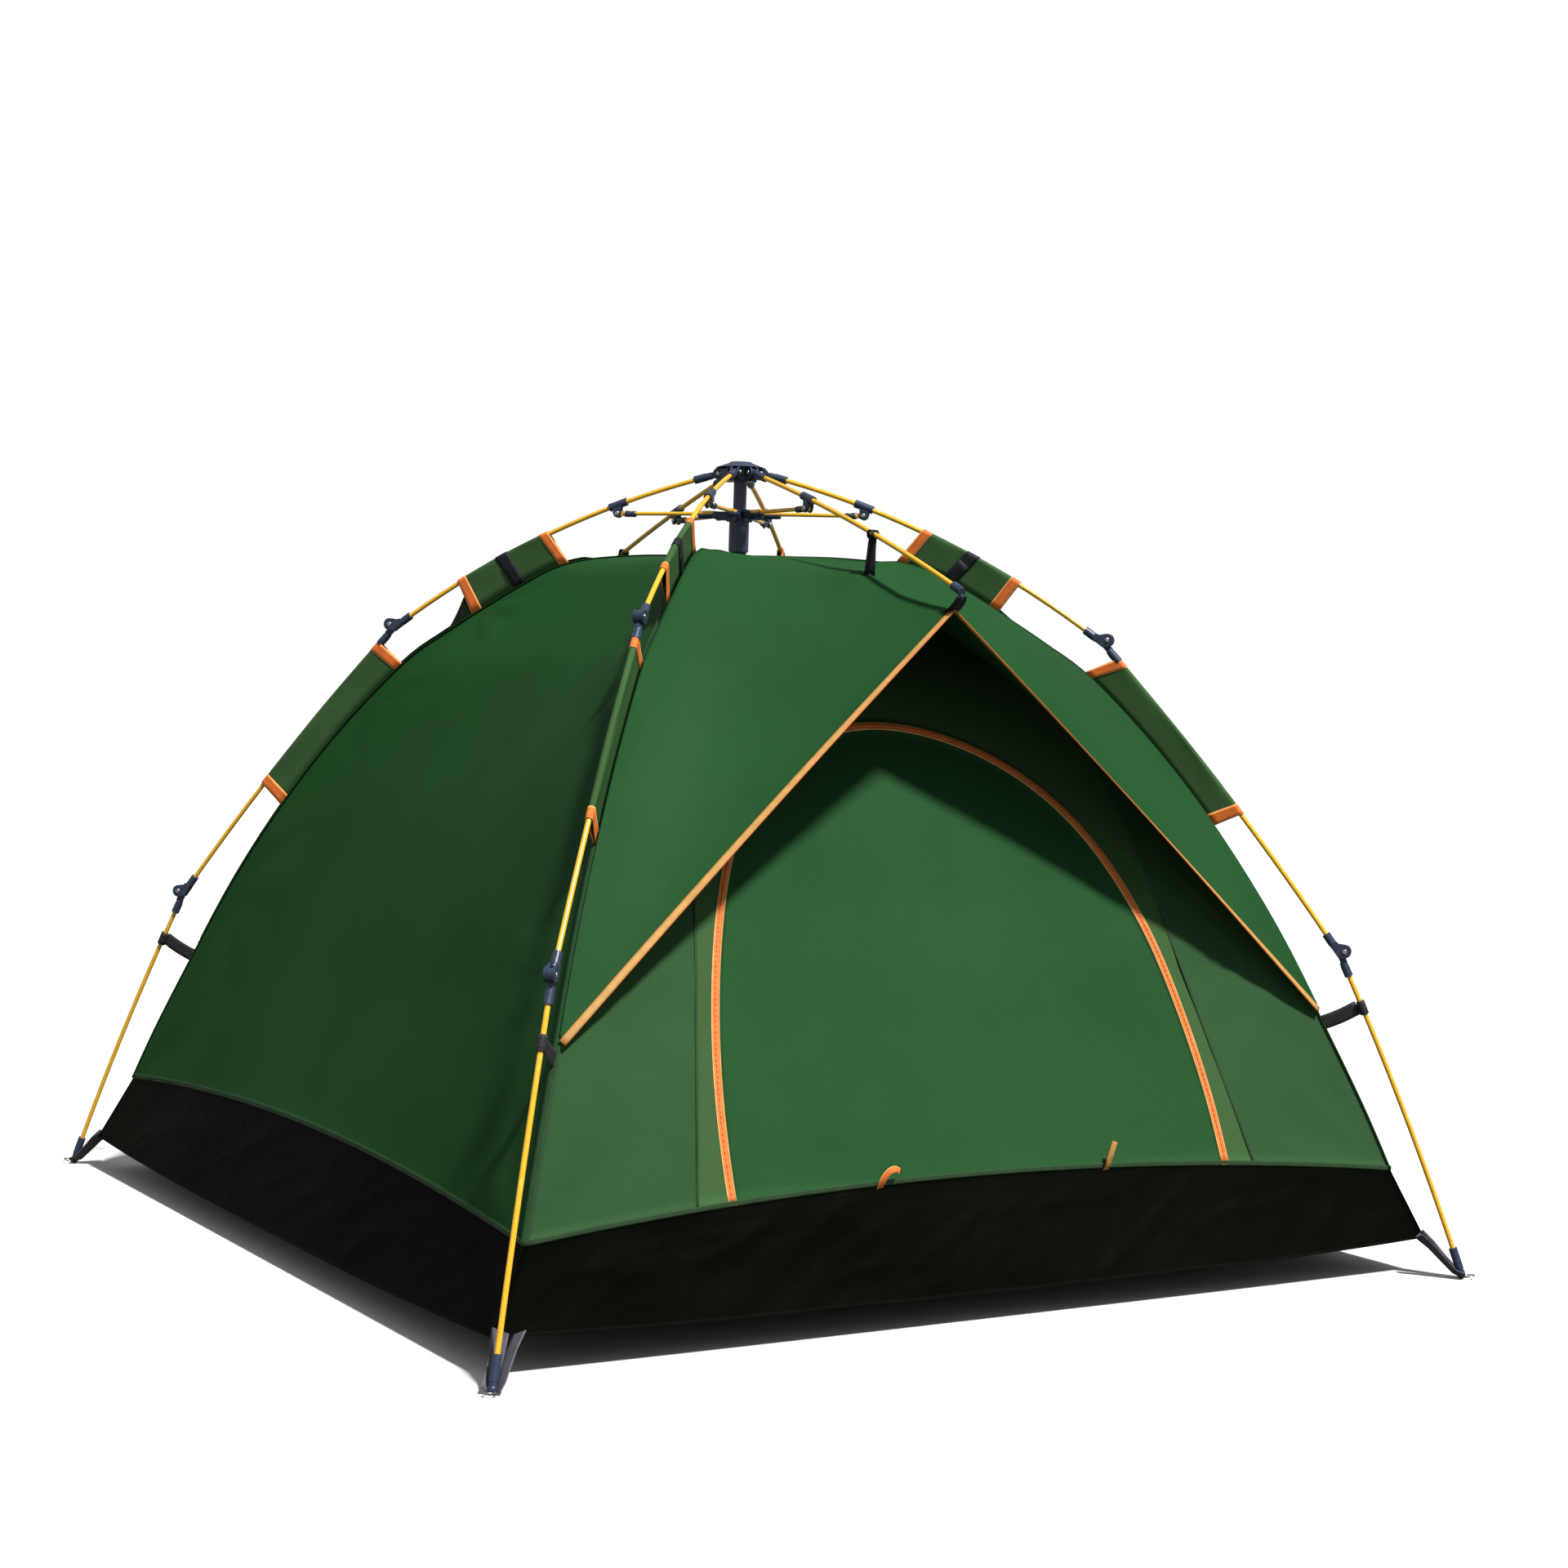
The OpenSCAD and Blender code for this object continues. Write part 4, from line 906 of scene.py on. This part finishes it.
# Corner strap from the tub to the foot: point in the leg's plane, sideways, width
CORNER_STRAP = (((1404, 78), 16, 30), ((1428, 58), 12, 27), ((1452, 33), 9.5, 24),
                ((1472, 14), 10, 21), ((1490, 7), 11, 18))
pole_line = LOWER_ARC.at(np.linspace(0, 1, 400))
ridge_line = ridge_at(np.linspace(0, 0.4, 400))
on_pole = pole_line[np.argmin(np.abs(pole_line[:, 1] - STRAP_Z))]
on_ridge = ridge_line[np.argmin(np.abs(ridge_line[:, 1] - (STRAP_Z - STRAP_DROP)))]
tang = pole_line[210] - pole_line[190]
tang /= np.linalg.norm(tang)
normal = np.array([tang[1], -tang[0]])
straps = []
for leg_name, angle in LEGS.items():
    path = np.linspace(on_ridge + np.array([-4, 0]), on_pole + np.array([-8.5, 0]), 9)
    path[:, 1] -= 2.5 * np.sin(np.linspace(0, PI, 9))
    across = leg(angle, tang) - leg(angle, [0, 0])
    straps.append(ribbon(f"{leg_name}_strap", leg(angle, path), across, 28, 2.0, GREY_WEB))
    ang = np.linspace(0, 2 * PI, 25)[:-1]
    out, aside = LEG_LOOP_R * np.cos(ang), LEG_LOOP_R * np.sin(ang)
    loop = leg(angle, on_pole + normal * out[:, None], aside)
    straps.append(ribbon(f"{leg_name}_loop", loop, across, 28, 1.6, GREY_WEB, closed=True))
    # Two straps from the tub's corner to the foot
    for y in (-1, 1):
        path = np.array([leg(angle, point, y * aside) for point, aside, _ in CORNER_STRAP])
        across = leg(angle, [0, 0], 1.0) + np.array([0, 0, 0.9 * y])
        widths = [width for _, _, width in CORNER_STRAP]
        straps.append(ribbon(f"{leg_name}_corner{y}", path, across, widths, 1.6, FOOT_WEB))
fabric(join("leg_webbing", straps), "black_webbing", "leg_straps")

# ---- toggles and hanger
LEFT_TOGGLE = [[-236, -930, 233], [-237, -939, 246], [-234, -944, 258], [-226, -947, 268],
               [-214, -947, 271], [-205, -945, 266]]
RIGHT_TOGGLE = [[258, -929, 233], [257, -940, 246], [257, -945, 260], [261, -947, 276],
                [266, -947, 290]]
HANGER = [[-6, 4, 1366], [-7, 4, 1368.5], [0, 4, 1371], [7, 4, 1368.5], [6, 4, 1366]]


def smooth_path(points, steps=8):
    p = np.asarray(points, float)
    n = len(p) - 1
    out = []
    for k in range(n):
        for f in np.linspace(0, 1, steps, endpoint=False):
            out.append(smooth_between(p[max(k - 1, 0)], p[k], p[k + 1], p[min(k + 2, n)], f))
    out.append(p[-1])
    return np.array(out)


def toggle(name, points, end_width, material):
    """Strap that lies flat on the front wall, 14 mm wide where it's sewn on."""
    path = smooth_path(points)
    across = np.cross(np.gradient(path, axis=0), [0.0, -1.0, 0.35])
    return ribbon(name, path, across, np.linspace(14, end_width, len(path)), 2.2, material)


toggles = [toggle("door_toggle_left", LEFT_TOGGLE, 10, ORANGE),
           toggle("door_toggle_right", RIGHT_TOGGLE, 12, GOLD_TAPE)]
fabric(join("door_toggle_loops", toggles), "orange_tape", "door_toggles")
fabric(ribbon("mast_hanger_loop", smooth_path(HANGER, 6), (0, 1, 0), 8, 1.2, ORANGE),
       "orange_tape", "mast_hanger")


# ---- frame: rivets, elbow cheeks, strut ends and peg rings
def slope(arc, t):
    return float(arc.turn(t)) - PI / 2


SLANT_1 = (slope(ARM_ARC, 1) + slope(MID_ARC, 0)) / 2
SLANT_2 = (slope(MID_ARC, 1) + slope(LOWER_ARC, 0)) / 2
PIVOT_1 = ELBOW_1 + PIVOT_OFF * np.array([-math.sin(SLANT_1), math.cos(SLANT_1)])
PIVOT_2 = ELBOW_2 + PIVOT_OFF * np.array([-math.sin(SLANT_2), math.cos(SLANT_2)])
DOME = [(4.9, 0.0), (4.9, 0.7), (4.2, 1.5), (2.8, 2.1), (1.2, 2.3), (0.2, 2.3)]
# Half widths of the fittings at their pins, where the rivet heads sit
KNUCKLE_HALF, HUB_HALF, ELBOW_1_HALF, ELBOW_2_HALF = 8.5, 10.8, 9.85, 9.95
CHEEK_R = 12.9
CHEEK_LAYERS = ((8.37, 1.0), (9.2, 1.0), (9.6, 0.975), (9.75, 0.93))  # sideways, size
ROD_END_GAP, ROD_END_TO = 15.5, 39.5  # a strut's sleeve starts and ends this far from the knuckle
RING_R, RING_OUT = 9, 13  # peg ring, and how far beyond the foot it is centred


def rivets(name, body, angle, spots):
    """Pairs of domed rivet heads: spots are (point in the leg's plane, half width)."""
    across = np.array([-math.sin(angle), math.cos(angle), 0.0])
    heads = []
    for k, (p, half) in enumerate(spots):
        for side in (-1, 1):
            at = leg(angle, p, side * half)
            heads.append(turned(f"{name}_{k}_{side}", at, across * side, DOME, STEEL, 22))
    o = join(name, heads)
    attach(o, body)


def cheeks(name, body, angle, elbow, slant):
    """Moulded cheeks of an elbow: a web that rises from the pole's sleeve to round the pivot."""
    ang = np.radians(np.linspace(138, -52, 20))
    round_top = np.stack([CHEEK_R * np.cos(ang), PIVOT_OFF + CHEEK_R * np.sin(ang)], -1)
    outline = np.array([(-25, -5.0), (-26, 0.5), (-25, 5.6), (-19, 7.2), *round_top,
                        (3.5, -5.6), (-8, -6.6), (-18, -6.2)])
    middle = outline.mean(axis=0)
    along = np.array([math.cos(slant), math.sin(slant)])
    out = np.array([-math.sin(slant), math.cos(slant)])
    plates = []
    for side in (-1, 1):
        rings = []
        for y, size in CHEEK_LAYERS:
            q = middle + (outline - middle) * size
            rings.append(leg(angle, elbow + q[:, :1] * along + q[:, 1:] * out, side * y))
        faces = skin(len(rings), len(outline))
        faces = [f[::-1] for f in faces] if side > 0 else faces
        uvs = np.tile(outline, (len(rings), 1)) * MM
        plates.append(obj_from(f"{name}_{side}", np.concatenate(rings), faces, uvs, NAVY,
                               smooth=False))
    o = join(name, plates)
    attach(o, body)


def strut_ends(name, angle):
    """Sleeves on a strut's two ends, from its knuckle on the arm to the runner."""
    start = leg(angle, KNUCKLE)
    axis = leg(angle, np.array([RUNNER_R, KNUCKLE[1] - 2])) - start
    full = np.linalg.norm(axis)
    ends = []
    for k, (d0, d1) in enumerate(((ROD_END_GAP, ROD_END_TO), (full - ROD_END_TO, full - 9))):
        profile = [(5.2, d0), (6.5, d0 + 0.8), (6.6, d0 + 5), (6.4, (d0 + d1) / 2),
                   (6.6, d1 - 5), (6.5, d1 - 0.8), (5.2, d1)]
        ends.append(turned(f"{name}_strut_end_{k}", start, axis, profile, BLACK_PLASTIC))
    o = join(name + "_strut_ends", ends)
    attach(o, name + "_strut")


def peg_ring(name, angle):
    """Wire ring for the peg, on the outer side of the foot."""
    middle = np.array([FOOT_P[0] + RING_OUT, 6.0])
    ang = np.linspace(0, 2 * PI, 33)[:-1]
    ring = leg(angle, middle + np.array([11, 2.2]) * np.cos(ang)[:, None], RING_R * np.sin(ang))
    o = tube_along(name + "_peg_ring", ring, 1.5, STEEL, 10, closed=True)
    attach(o, name + "_lower")


for name, angle in LEGS.items():
    cheeks(name + "_upper_elbow_cheeks", name + "_arm", angle, ELBOW_1, SLANT_1)
    cheeks(name + "_lower_elbow_cheeks", name + "_mid", angle, ELBOW_2, SLANT_2)

ARMS = dict(LEGS, front_awning=-PI / 2, rear_awning=PI / 2)
for name, angle in ARMS.items():
    spots = [(KNUCKLE, KNUCKLE_HALF)]
    if name in LEGS:
        spots.append((PIVOT_1, ELBOW_1_HALF))
    rivets(name + "_arm_rivets", name + "_arm", angle, spots)
    rivets(name + "_hub_rivets", "hub", angle, [(HUB_P, HUB_HALF)])
    if name in LEGS:
        rivets(name + "_mid_rivets", name + "_mid", angle, [(PIVOT_2, ELBOW_2_HALF)])
    strut_ends(name, angle)
    if name in LEGS:
        peg_ring(name, angle)

# Better materials for the frame's own parts
LOOKS = {"yellow_pole": YELLOW, "strut_rod": YELLOW, "navy_plastic": NAVY, "black_tube": DARK_TUBE,
         "inner_tube": ALU, "steel": STEEL}
slots = {s["node"]: s["material_slot"] for s in frame["record"]["subparts"]}
for n, o in frame["nodes"].items():
    look = LOOKS.get(slots.get(n))
    if look is not None and o.type == "MESH":
        if not o.material_slots:
            o.data.materials.append(look)
        for place in o.material_slots:
            place.material = look

# ---- every cloth piece rides on the fabric body, with a mesh of its own
for o in soft:
    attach(o, "fabric")
    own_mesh(o)

# ---- floor, light and camera
bpy.ops.mesh.primitive_plane_add(size=60, location=(0, 0, -0.0005))
floor = bpy.context.object
floor.name = "studio_floor"
fm, tree, s = new_material("studio_floor", Roughness=0.9, Specular_IOR_Level=0.1)
co = tree.nodes.new("ShaderNodeTexCoord")
tint = mix(tree, noise(tree, co, 3.0, 2.0),
           (0.78, 0.78, 0.78), (0.82, 0.82, 0.82))
# Pale to look at, but it throws little light up under the awning
seen = tree.nodes.new("ShaderNodeLightPath").outputs["Is Camera Ray"]
tree.links.new(mix(tree, seen, (0.16, 0.16, 0.16), tint), s.inputs["Base Color"])
floor.data.materials.append(fm)

# White to the camera, and a dimmer fill light on the tent
world = bpy.data.worlds.new("studio")
bpy.context.scene.world = world
world.use_nodes = True
tree = world.node_tree
fill = tree.nodes["Background"]
fill.inputs[0].default_value = (0.95, 0.97, 1.0, 1)
fill.inputs[1].default_value = 0.34
seen = node(tree, "ShaderNodeBackground", Color=(1.0, 1.0, 1.0, 1), Strength=1.0)
is_camera = tree.nodes.new("ShaderNodeLightPath").outputs["Is Camera Ray"]
which = node(tree, "ShaderNodeMixShader", i0=is_camera, i1=fill.outputs[0],
             i2=seen.outputs[0])
tree.links.new(which.outputs[0], tree.nodes["World Output"].inputs[0])

light = bpy.data.lights.new("key", "SUN")
light.energy = 5.4
light.angle = math.radians(6.0)
light.color = (1.0, 0.97, 0.92)
key = bpy.data.objects.new("key", light)
bpy.context.scene.collection.objects.link(key)
key.rotation_euler = Vector((0.09, -0.51, 0.855)).to_track_quat("Z", "Y").to_euler()

# The camera's own axes, fitted to the photograph's view
right_v = Vector((0.8579, -0.5129, 0.0306)).normalized()
up_v = Vector((-0.0127, 0.0382, 0.9992))
up_v = (up_v - right_v * up_v.dot(right_v)).normalized()
back_v = right_v.cross(up_v)
cam_data = bpy.data.cameras.new("camera")
cam_data.lens = 59.8
cam_data.sensor_width = 36
cam_data.shift_x = 0.0335
cam_data.shift_y = -0.0032
cam_data.clip_end = 100
cam = bpy.data.objects.new("camera", cam_data)
bpy.context.scene.collection.objects.link(cam)
turn = Matrix((right_v, up_v, back_v)).transposed().to_4x4()
cam.matrix_world = Matrix.Translation(Vector((-2.762, -4.612, 1.049))) @ turn
bpy.context.scene.camera = cam
bpy.context.scene.view_settings.view_transform = "Standard"

bpy.context.view_layer.update()
